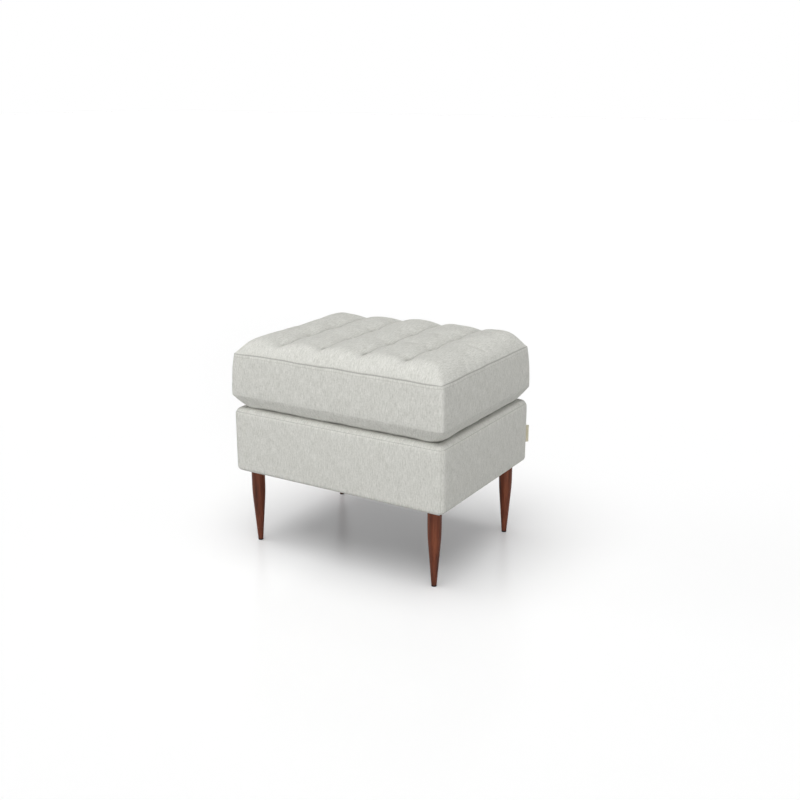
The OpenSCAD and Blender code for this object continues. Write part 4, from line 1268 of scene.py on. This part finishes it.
def panel_profile(down):
    """How far out of the base's sides, and how high, the panel is, this far below its seam."""
    down -= SEAM_LAP
    if down < EDGE_PART:
        return edge_place(seam_angle - down / EDGE_RADIUS)
    down -= EDGE_PART
    if down < UPRIGHT:
        return 0.0, edge_low - down
    down -= UPRIGHT
    if down < HEM_PART:
        angle = down / HEM_RADIUS
        return HEM_RADIUS * (cos(angle) - 1), BASE_FOOT + HEM_RADIUS * (1 - sin(angle))
    return -HEM_RADIUS - (down - HEM_PART), BASE_FOOT


def panel_rows():
    """Rows of the cut below its seam, crowded towards the seam."""
    edge = [EDGE_PART - line for line in reversed(crowded(0, EDGE_PART, 5, SEAM_CROWDING))]
    upright = even(EDGE_PART, EDGE_PART + UPRIGHT, 20)[1:]
    hem = even(upright[-1], upright[-1] + HEM_PART, 6)[1:]
    flap = even(hem[-1], hem[-1] + FLAP_PART, 3)[1:]
    return edge + upright + hem + flap


print("A panel is", round(panel_rows()[-1], 4), "m from its seam to the end of its flap")

# %% Cut and wrap the four panels
PANEL_SWELL = 0.0020        # fullness in the middle of a panel
PANEL_WAVES = (0.7, 0.06, 0.0005)       # layer of the noise, size of the waves, their depth
SEAM_ROLL = 0.0011          # how far the cloth turns in at a seam
SEAM_ROLL_WIDTH = 0.0010
CORNER_LAP = 0.0009         # cloth past the diagonal of a corner, where both panels turn in
SEAM_MERGE = 0.0001
quarter_arc = CORNER_RADIUS * pi / 2
quarter_way = way_round(BASE_HALF, CORNER_RADIUS) / 4


def upholster(cloth, shares, node):
    """Gives a wrapped cut its painted seam shade and thickness, and puts it on the base as padded cloth."""
    mark_painted_shade(cloth, shares)
    tidy_normals(cloth, SEAM_MERGE)
    modify(cloth, "SOLIDIFY", thickness=CLOTH_THICKNESS, offset=-1)
    modify(cloth, "SUBSURF", levels=1, render_levels=1)
    smooth(cloth, 60)
    dress(cloth, "base", "cloth", CLOTH, node)


def make_panel(name, middle, reach):
    """The panel whose middle lies this far along the walk round the base."""
    end = reach - CORNER_RADIUS + quarter_arc / 2 + CORNER_LAP
    inner = even(-(reach - CORNER_RADIUS), reach - CORNER_RADIUS, 40)
    turn = crowded(0, quarter_arc / 2 + CORNER_LAP, 6, SEAM_CROWDING)
    right = [reach - CORNER_RADIUS + line for line in turn]
    across = [-line for line in reversed(right)] + inner + right
    panel = lay_cloth("base_" + name, across, [-row for row in reversed(panel_rows())])
    face = EDGE_PART + UPRIGHT
    shares = []
    for vertex in panel.data.vertices:
        along, down = vertex.co.x, -vertex.co.y
        out, height = panel_profile(down)
        on_face = max(0.0, 1 - (along / end) ** 2) * max(0.0, sin(pi * min(1.0, down / face)))
        out += (PANEL_SWELL + unevenness(along + middle, down, *PANEL_WAVES)) * on_face
        to_seam = min(end - abs(along), down)
        roll = exp(-to_seam / SEAM_ROLL_WIDTH) if down < face + HEM_PART else 0.0
        place = round_the_box(middle + along, out - SEAM_ROLL * roll, BASE_HALF, CORNER_RADIUS)
        vertex.co = (place.x, place.y, height)
        # The turn-in at a seam also sets the painted shade in its groove.
        shares.append(roll)
    upholster(panel, shares, name)


for number, name in enumerate(("front_panel", "right_panel", "back_panel", "left_panel")):
    make_panel(name, number * quarter_way, BASE_HALF.y if number % 2 else BASE_HALF.x)

# %% [markdown]
# ## The border and the lining on top of the base
# The border is a ring of the same cloth: it starts at the seam, rolls over the padded edge and lies flat
# as far as the lining. The lining is a plain thinner cloth, stretched over the webbing where the cushion
# hides it. Four mitred strips would be closer to a picture frame than to upholstery, so the ring is one
# strip that is wrapped all the way round and merged where its ends meet.

# %% Top border
BORDER = BASE_HALF.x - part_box("platform_cloth")[1].x
BORDER_ARC = EDGE_RADIUS * (pi / 2 - seam_angle)
BORDER_END = BORDER_ARC + BORDER - EDGE_RADIUS      # way along the border from its seam to its inner edge
BORDER_COLUMNS = 420
BORDER_PAINTED_SHADOW = 1.0        # painted shadow on the border where the cushion rests on it
BORDER_CONTACT_WIDTH = 0.004
BORDER_WAVES = (0.5, 0.05, 0.0004)      # layer of the noise, size of the waves, their depth


def border_profile(inwards):
    """How far out, and how high, the border is, this far along it from the seam."""
    inwards -= SEAM_LAP
    if inwards < BORDER_ARC:
        return edge_place(seam_angle + inwards / EDGE_RADIUS)
    return -EDGE_RADIUS - (inwards - BORDER_ARC), BASE_TOP


def make_border():
    edge = [BORDER_ARC - line for line in reversed(crowded(0, BORDER_ARC, 6, SEAM_CROWDING))]
    flat = even(BORDER_ARC, BORDER_END, 10)[1:]
    around = even(0, way_round(BASE_HALF, CORNER_RADIUS), BORDER_COLUMNS)
    contact = SEAM_HALF.x + LOW_OUT - REST_IN - BASE_HALF.x
    border = lay_cloth("base_top_border", around, edge + flat)
    shares = []
    for vertex in border.data.vertices:
        walk, inwards = vertex.co.x, vertex.co.y
        out, height = border_profile(inwards)
        roll = exp(-inwards / SEAM_ROLL_WIDTH) + exp((inwards - BORDER_END) / SEAM_ROLL_WIDTH)
        place = round_the_box(walk, out - SEAM_ROLL * roll, BASE_HALF, CORNER_RADIUS)
        height += unevenness(place.x, place.y, *BORDER_WAVES) * (1 - min(1.0, roll))
        vertex.co = (place.x, place.y, height)
        # Painted shade in the seams' grooves, and a painted shadow under the cushion's resting edge.
        contact_shadow_share = BORDER_PAINTED_SHADOW * exp(-((out - contact) / BORDER_CONTACT_WIDTH) ** 2)
        shares.append(max(min(1.0, roll), contact_shadow_share))
    upholster(border, shares, "top_border")


make_border()

# %% Lining and dust cover
WRINKLE_LAYER = 0.2         # layer of the noise
WRINKLE_SIZE = 0.08
TAUT_MARGIN = 0.09          # the wrinkles fade over this margin, where the cloth is pulled straight


def make_stretched_cloth(name, node, slot, material, thickness, cells, wrinkle):
    """A flat cloth that fills a node's box, with faint wrinkles away from its edges."""
    low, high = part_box(node)
    cloth = lay_cloth(name, even(low.x, high.x, cells[0]), even(low.y, high.y, cells[1]))
    for vertex in cloth.data.vertices:
        x, y = vertex.co.x, vertex.co.y
        inside = min(1.0, min(high.x - abs(x), high.y - abs(y)) / TAUT_MARGIN)
        wave = unevenness(x, y, WRINKLE_LAYER, WRINKLE_SIZE, wrinkle) - wrinkle
        vertex.co.z = low.z + thickness / 2 + inside * wave
    modify(cloth, "SOLIDIFY", thickness=thickness, offset=0)
    smooth(cloth, 60)
    dress(cloth, "base", slot, material, node)


make_stretched_cloth("platform_lining", "platform_cloth", "lining", LINING, CLOTH_THICKNESS, (60, 42), 0.0)
make_stretched_cloth("under_dust_cover", "dust_cover", "dust_cover", DUST_CLOTH, 0.0006, (70, 52), 0.0012)

# %% [markdown]
# ## Turned legs and glides
# A leg is turned on a lathe. A scaled cone would lack its ease and its rounded ends, so it is made as the
# lathe does: a disc at the tip is extruded up ring by ring, and each ring is scaled to the leg's radius
# there. The leg is round and straight in its upper third, eases into a cone, and ends in a small black
# glide. One leg is turned and copied to the other corners.

# %% Radius of the leg
leg_low, leg_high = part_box("leg_front_right")
glide_low, glide_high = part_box("glide_front_right")
LEG_CENTRE = (leg_low + leg_high) / 2
LEG_RADIUS = (leg_high.x - leg_low.x) / 2
TIP_RADIUS = (glide_high.x - glide_low.x) / 2
LEG_STRAIGHT = 0.056        # length of the round upper part
LEG_EASE = 0.040            # length over which it eases into the cone
TAPER_TOP = leg_high.z - LEG_STRAIGHT
TAPER_SLOPE = (LEG_RADIUS - TIP_RADIUS) / (TAPER_TOP - leg_low.z)


def leg_radius(height):
    below = TAPER_TOP + LEG_EASE / 2 - height
    if below <= 0:
        return LEG_RADIUS
    if below < LEG_EASE:
        return LEG_RADIUS - TAPER_SLOPE * below ** 2 / (2 * LEG_EASE)
    return LEG_RADIUS - TAPER_SLOPE * (TAPER_TOP - height)


print("Leg radius from", round(leg_radius(leg_high.z), 4), "to", round(leg_radius(leg_low.z), 4), "m")


# %% Turn a round piece
LEG_EDGE = 0.0012
GLIDE_EDGE = 0.0009


def rounded_ends(radius_at, low, high, edge):
    """Rings of a turned piece, with its end edges rounded."""
    turns = even(0, pi / 2, 4)
    foot = [(low + edge * (1 - cos(turn)), edge * (1 - sin(turn))) for turn in turns]
    shaft = [(height, 0.0) for height in even(low + edge, high - edge, 22)[1:-1]]
    head = [(high - edge * (1 - sin(turn)), edge * (1 - cos(turn))) for turn in turns]
    return [(radius_at(height) - inset, height) for height, inset in foot + shaft + head]


def turn_piece(name, centre, rings, segments):
    """Turns a round piece: a disc extruded from ring to ring."""
    first_radius, first_height = rings[0]
    bpy.ops.mesh.primitive_circle_add(
        vertices=segments, radius=first_radius, fill_type="NGON",
        location=(centre.x, centre.y, first_height),
    )
    piece = bpy.context.object
    piece.name = name
    settle(piece)
    edit(piece, "FACE")
    bpy.ops.mesh.select_all(action="SELECT")
    for (radius, height), (next_radius, next_height) in zip(rings, rings[1:]):
        bpy.ops.mesh.extrude_region_move(TRANSFORM_OT_translate={"value": (0, 0, next_height - height)})
        scale = next_radius / radius
        bpy.ops.transform.resize(value=(scale, scale, 1), center_override=(centre.x, centre.y, next_height))
    close()
    tidy_normals(piece)
    smooth(piece)
    return piece


leg_rings = rounded_ends(leg_radius, leg_low.z, leg_high.z, LEG_EDGE)
glide_rings = rounded_ends(lambda height: TIP_RADIUS, 0.0, leg_low.z, GLIDE_EDGE)
print("A leg has", len(leg_rings), "rings")

# %% Legs and glides at the four corners
CORNERS = {"front_left": (-1, -1), "front_right": (1, -1), "back_left": (-1, 1), "back_right": (1, 1)}


def copy_to(piece, name, change):
    """A copy with its own mesh, each vertex put where change(place) says."""
    copy = piece.copy()
    copy.data = piece.data.copy()
    copy.name = name
    bpy.context.collection.objects.link(copy)
    for vertex in copy.data.vertices:
        vertex.co = change(vertex.co)
    return copy


def place_at_corners(model, kind, slot, material):
    """Copies a piece of the front right corner to all four, each standing for its node."""
    for corner, (side_x, side_y) in CORNERS.items():
        def to_corner(place):
            return (place.x + (side_x - 1) * LEG_CENTRE.x, place.y + (side_y + 1) * -LEG_CENTRE.y, place.z)

        copy = copy_to(model, f"{kind}_{corner}_turned", to_corner)
        dress(copy, "base", slot, material, f"{kind}_{corner}")
    bpy.data.objects.remove(model)


leg = turn_piece("leg", LEG_CENTRE, leg_rings, 72)
place_at_corners(leg, "leg", "walnut", WALNUT)
glide = turn_piece("glide", LEG_CENTRE, glide_rings, 48)
place_at_corners(glide, "glide", "glide", PLASTIC)

# %% [markdown]
# ## The side tag
# A short loop of ribbon is sewn into the back right corner. It is left bare. A thin block would show a
# solid edge where a ribbon shows its fold, so it is made as sewn: a strip is laid flat and then wrapped
# round a thin fold that stands out along the corner's diagonal.

# %% Tag
tag_low, tag_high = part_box("side_tag")
TAG_LENGTH = 0.0105         # how far the loop reaches, part of it inside the seam
TAG_FOLD = 0.0005           # half of the loop's thickness
RIBBON = 0.0003             # thickness of the ribbon
TAG_WAVE = 0.0004           # how far the ribbon waves to either side
TAG_WAVE_LENGTH = 0.013


def make_tag():
    fold = TAG_FOLD * pi / 2
    leaf = TAG_LENGTH - TAG_FOLD
    across = even(-leaf - fold, -fold, 6) + even(-fold, fold, 6)[1:-1] + even(fold, fold + leaf, 6)
    tag = lay_cloth("side_tag_loop", across, even(tag_low.z, tag_high.z, 14))
    diagonal = Vector((1, 1, 0)).normalized()
    sideways = Vector((-1, 1, 0)).normalized()
    tip = Vector((tag_high.x, tag_high.y, 0)) - diagonal * (TAG_FOLD + RIBBON)
    for vertex in tag.data.vertices:
        along, height = vertex.co.x, vertex.co.y
        if abs(along) <= fold:
            angle = along / TAG_FOLD
            place = tip + diagonal * (TAG_FOLD * cos(angle)) + sideways * (TAG_FOLD * sin(angle))
        else:
            side = 1 if along > 0 else -1
            place = tip - diagonal * (abs(along) - fold) + sideways * (TAG_FOLD * side)
        place += sideways * (TAG_WAVE * sin((height - tag_low.z) / TAG_WAVE_LENGTH))
        vertex.co = (place.x, place.y, height)
    modify(tag, "SOLIDIFY", thickness=RIBBON, offset=0)
    tidy_normals(tag)
    smooth(tag, 60)
    dress(tag, "base", "tag", TAG_CLOTH, "side_tag")


make_tag()

# %% [markdown]
# ## The zip
# The zip lies in the slot of the back band. Each tape is a strip of cloth with a round edge. The teeth
# could be a striped bar, but a zip is known by its separate teeth, so a small bevelled block is modelled
# once and repeated along both rows. The slider and its pull keep the frame's shape, with their sharp
# edges broken as on a tumbled casting.

# %% Tapes
ROW_GAP = 0.0012            # between the two rows of teeth
TAPE_EDGE = 0.0002
tape_low, tape_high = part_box("zip_tapes")
teeth_low, teeth_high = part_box("zip_teeth")
ZIP_MIDDLE = (teeth_low.z + teeth_high.z) / 2
TOOTH_REACH = (teeth_high.z - teeth_low.z - ROW_GAP) / 2


def make_tape(side):
    """One tape, above the teeth for side 1 and below them for side -1."""
    inner = ZIP_MIDDLE + side * (ROW_GAP / 2 + TOOTH_REACH)
    outer = tape_high.z if side > 0 else tape_low.z
    rows = even(min(inner, outer), max(inner, outer), 6)
    name = "zip_tape_upper" if side > 0 else "zip_tape_lower"
    tape = lay_cloth(name, even(tape_low.x, tape_high.x, 120), rows)
    middle = (tape_low.y + tape_high.y) / 2
    for vertex in tape.data.vertices:
        vertex.co = (vertex.co.x, middle, vertex.co.y)
    modify(tape, "SOLIDIFY", thickness=tape_high.y - tape_low.y, offset=0)
    modify(tape, "BEVEL", width=TAPE_EDGE, segments=2, limit_method="ANGLE")
    tidy_normals(tape)
    smooth(tape)
    return tape


def join(name, *pieces):
    take(*pieces)
    bpy.ops.object.join()
    pieces[0].name = name
    return pieces[0]


tapes = join("zip_tape_pair", make_tape(1), make_tape(-1))
dress(tapes, "cushion", "zip_tape", ZIP_TAPE, "zip_tapes")

# %% Teeth
TOOTH_PITCH = 0.0021
TOOTH_WIDTH = 0.0013
TOOTH_EDGE = 0.0003


def make_tooth():
    bpy.ops.mesh.primitive_cube_add(size=1)
    tooth = bpy.context.object
    tooth.scale = (TOOTH_WIDTH, teeth_high.y - teeth_low.y, TOOTH_REACH)
    settle(tooth)
    modify(tooth, "BEVEL", width=TOOTH_EDGE, segments=1)
    return tooth


def tooth_places():
    """Both rows, a quarter of a pitch to either side, so that the teeth stand between each other."""
    count = int((teeth_high.x - teeth_low.x) / TOOTH_PITCH)
    middle = (teeth_low.y + teeth_high.y) / 2
    for side in (-1, 1):
        shift = TOOTH_PITCH / 4 * side
        height = ZIP_MIDDLE + side * (ROW_GAP + TOOTH_REACH) / 2
        for number in range(count):
            along = (number - (count - 1) / 2) * TOOTH_PITCH
            yield Matrix.Translation((along + shift, middle, height))


teeth = repeat(make_tooth(), list(tooth_places()), "zip_tooth_rows")
smooth(teeth, 30)
dress(teeth, "cushion", "zip_metal", NICKEL, "zip_teeth")


# %% Metal with its edges broken
def copy_node(node, ending):
    """A merged copy of a frame node, under its own name and without the frame's marks."""
    copy = copy_to(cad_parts[node], f"{node}_{ending}", lambda place: place)
    copy.parent = None
    for key in list(copy.keys()):
        del copy[key]
    copy.hide_render = False
    tidy_normals(copy)
    return copy


def break_edges(node, body, slot, material, width, segments=2):
    """A copy of a frame node with bevelled edges, which stands for it."""
    copy = copy_node(node, "eased")
    modify(copy, "BEVEL", width=width, segments=segments, limit_method="ANGLE", angle_limit=radians(40))
    smooth(copy, 30)
    dress(copy, body, slot, material, node)
    return copy


for corner in CORNERS:
    break_edges(f"leg_plate_{corner}", "base", "steel", STEEL, 0.0004)
break_edges("zip_slider", "zip_slider", "zip_metal", NICKEL, 0.00025)
break_edges("zip_pull", "zip_pull", "zip_metal", NICKEL, 0.0003)
break_edges("zip_stops", "cushion", "zip_metal", NICKEL, 0.0003)

# %% [markdown]
# ## Stuffing and webbing inside
# The foam, the fibre and the straps don't show in the closed piece, but they are part of it. They could
# be modelled anew, but each node already has its size, so each piece starts as a copy of its node. Foam
# is cut with a hot wire, so its edges are only broken. Fibre is loose, so it is remeshed into a fine even
# skin, smoothed, and drawn in a little. Straps keep their flat section with soft edges. The cover dips
# deeper at the tufts than its node does, so the wadding and the twines are kept under it.

# %% Fibre
FIBRE_GAP = 0.0015          # between the cover and the fibre
WADDING_DIP = (0.0025, 0.0045)      # gap under the cover near the tufts, and how far round a point it holds
TUFT_MARGIN = 0.025         # near the tufts means up to this far outside the outer ones


def keep_under(piece, skin, gap):
    """Moves each point that comes nearer to the closed skin than the gap, or through it, back under it."""
    for vertex in piece.data.vertices:
        place, normal, _, _ = skin.find_nearest(vertex.co)
        if (vertex.co - place).dot(normal) > -gap:
            vertex.co = place - normal * gap


def keep_below(piece, skin, gap, reach):
    """Lowers each point near the tufts below the lowest skin within reach, so that nothing spans a fold."""
    steps = [Vector(step) * reach for step in ((0, 0, 0), (1, 0, 0), (-1, 0, 0), (0, 1, 0), (0, -1, 0))]
    for vertex in piece.data.vertices:
        if abs(vertex.co.x) > TUFT_EDGE.x + TUFT_MARGIN or abs(vertex.co.y) > TUFT_EDGE.y + TUFT_MARGIN:
            continue
        above = Vector((vertex.co.x, vertex.co.y, TOP_SEAM + 2 * CROWN))
        hits = [skin.ray_cast(above + step, Vector((0, 0, -1)))[0] for step in steps]
        vertex.co.z = min([vertex.co.z] + [hit.z - gap for hit in hits])


def make_fibre(node, body, voxel, draw_in, skin=None):
    """A soft copy of a node: remeshed, smoothed and drawn in from the cloth round it."""
    copy = copy_node(node, "soft")
    modify(copy, "REMESH", mode="VOXEL", voxel_size=voxel)
    modify(copy, "SMOOTH", factor=0.5, iterations=6)
    modify(copy, "DISPLACE", strength=-draw_in, mid_level=0.0)
    if skin:
        keep_under(copy, skin, FIBRE_GAP)
    smooth(copy, 80)
    dress(copy, body, "padding", FIBRE, node)
    return copy


wadding = make_fibre("top_wadding", "cushion", 0.005, 0.0030, cover_tree)
keep_below(wadding, cover_tree, *WADDING_DIP)
make_fibre("fibre_belt", "cushion", 0.0035, 0.0006, cover_tree)
make_fibre("rail_padding", "base", 0.004, 0.0010)

# %% Foam, straps, twines and their discs
FOAM_EDGE = 0.0020
TWINE_DIP = (0.0020, 0.0015)        # gap under the cover, and how far round a point it holds
STRAPS = [f"long_strap_{place}" for place in ("front", "middle", "back")]
STRAPS += [f"cross_strap_{place}" for place in ("left", "mid_left", "mid_right", "right")]

for node, body in (("edge_roll", "base"), ("deck_pad", "base"), ("foam_core", "cushion")):
    foam = break_edges(node, body, "foam", FOAM, FOAM_EDGE, 3)
for node in STRAPS:
    break_edges(node, "base", "webbing", WEBBING, 0.0005)
twines = break_edges("tuft_twine", "cushion", "twine", TWINE, 0.0002, 1)
keep_below(twines, cover_tree, *TWINE_DIP)
break_edges("tuft_anchors", "cushion", "glide", PLASTIC, 0.0003)

# %% [markdown]
# ## Pieces whose node is already right
# Screws, staples, bolts and the timber frame are right as they come from the frame. A copy would add
# nothing, so they keep their node's shape and only get their material. Timber takes the wood whose grain
# runs along the board.

# %% Materials on the frame's own nodes
NODE_FINISHES = {
    TIMBER_X: ["front_rail", "back_rail", "frame_dowels"],
    TIMBER_Y: ["left_rail", "right_rail"],
    TIMBER_Z: [f"corner_block_{corner}" for corner in CORNERS],
    STEEL: ["plate_screws", "hanger_bolts", "strap_staples", "dust_cover_staples"],
}


def paint_node(name, material):
    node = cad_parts[name]
    if node.material_slots:
        node.material_slots[0].material = material
    else:
        node.data.materials.append(material)


for material, names in NODE_FINISHES.items():
    for name in names:
        paint_node(name, material)
print("Painted", sum(len(names) for names in NODE_FINISHES.values()), "nodes of the frame")
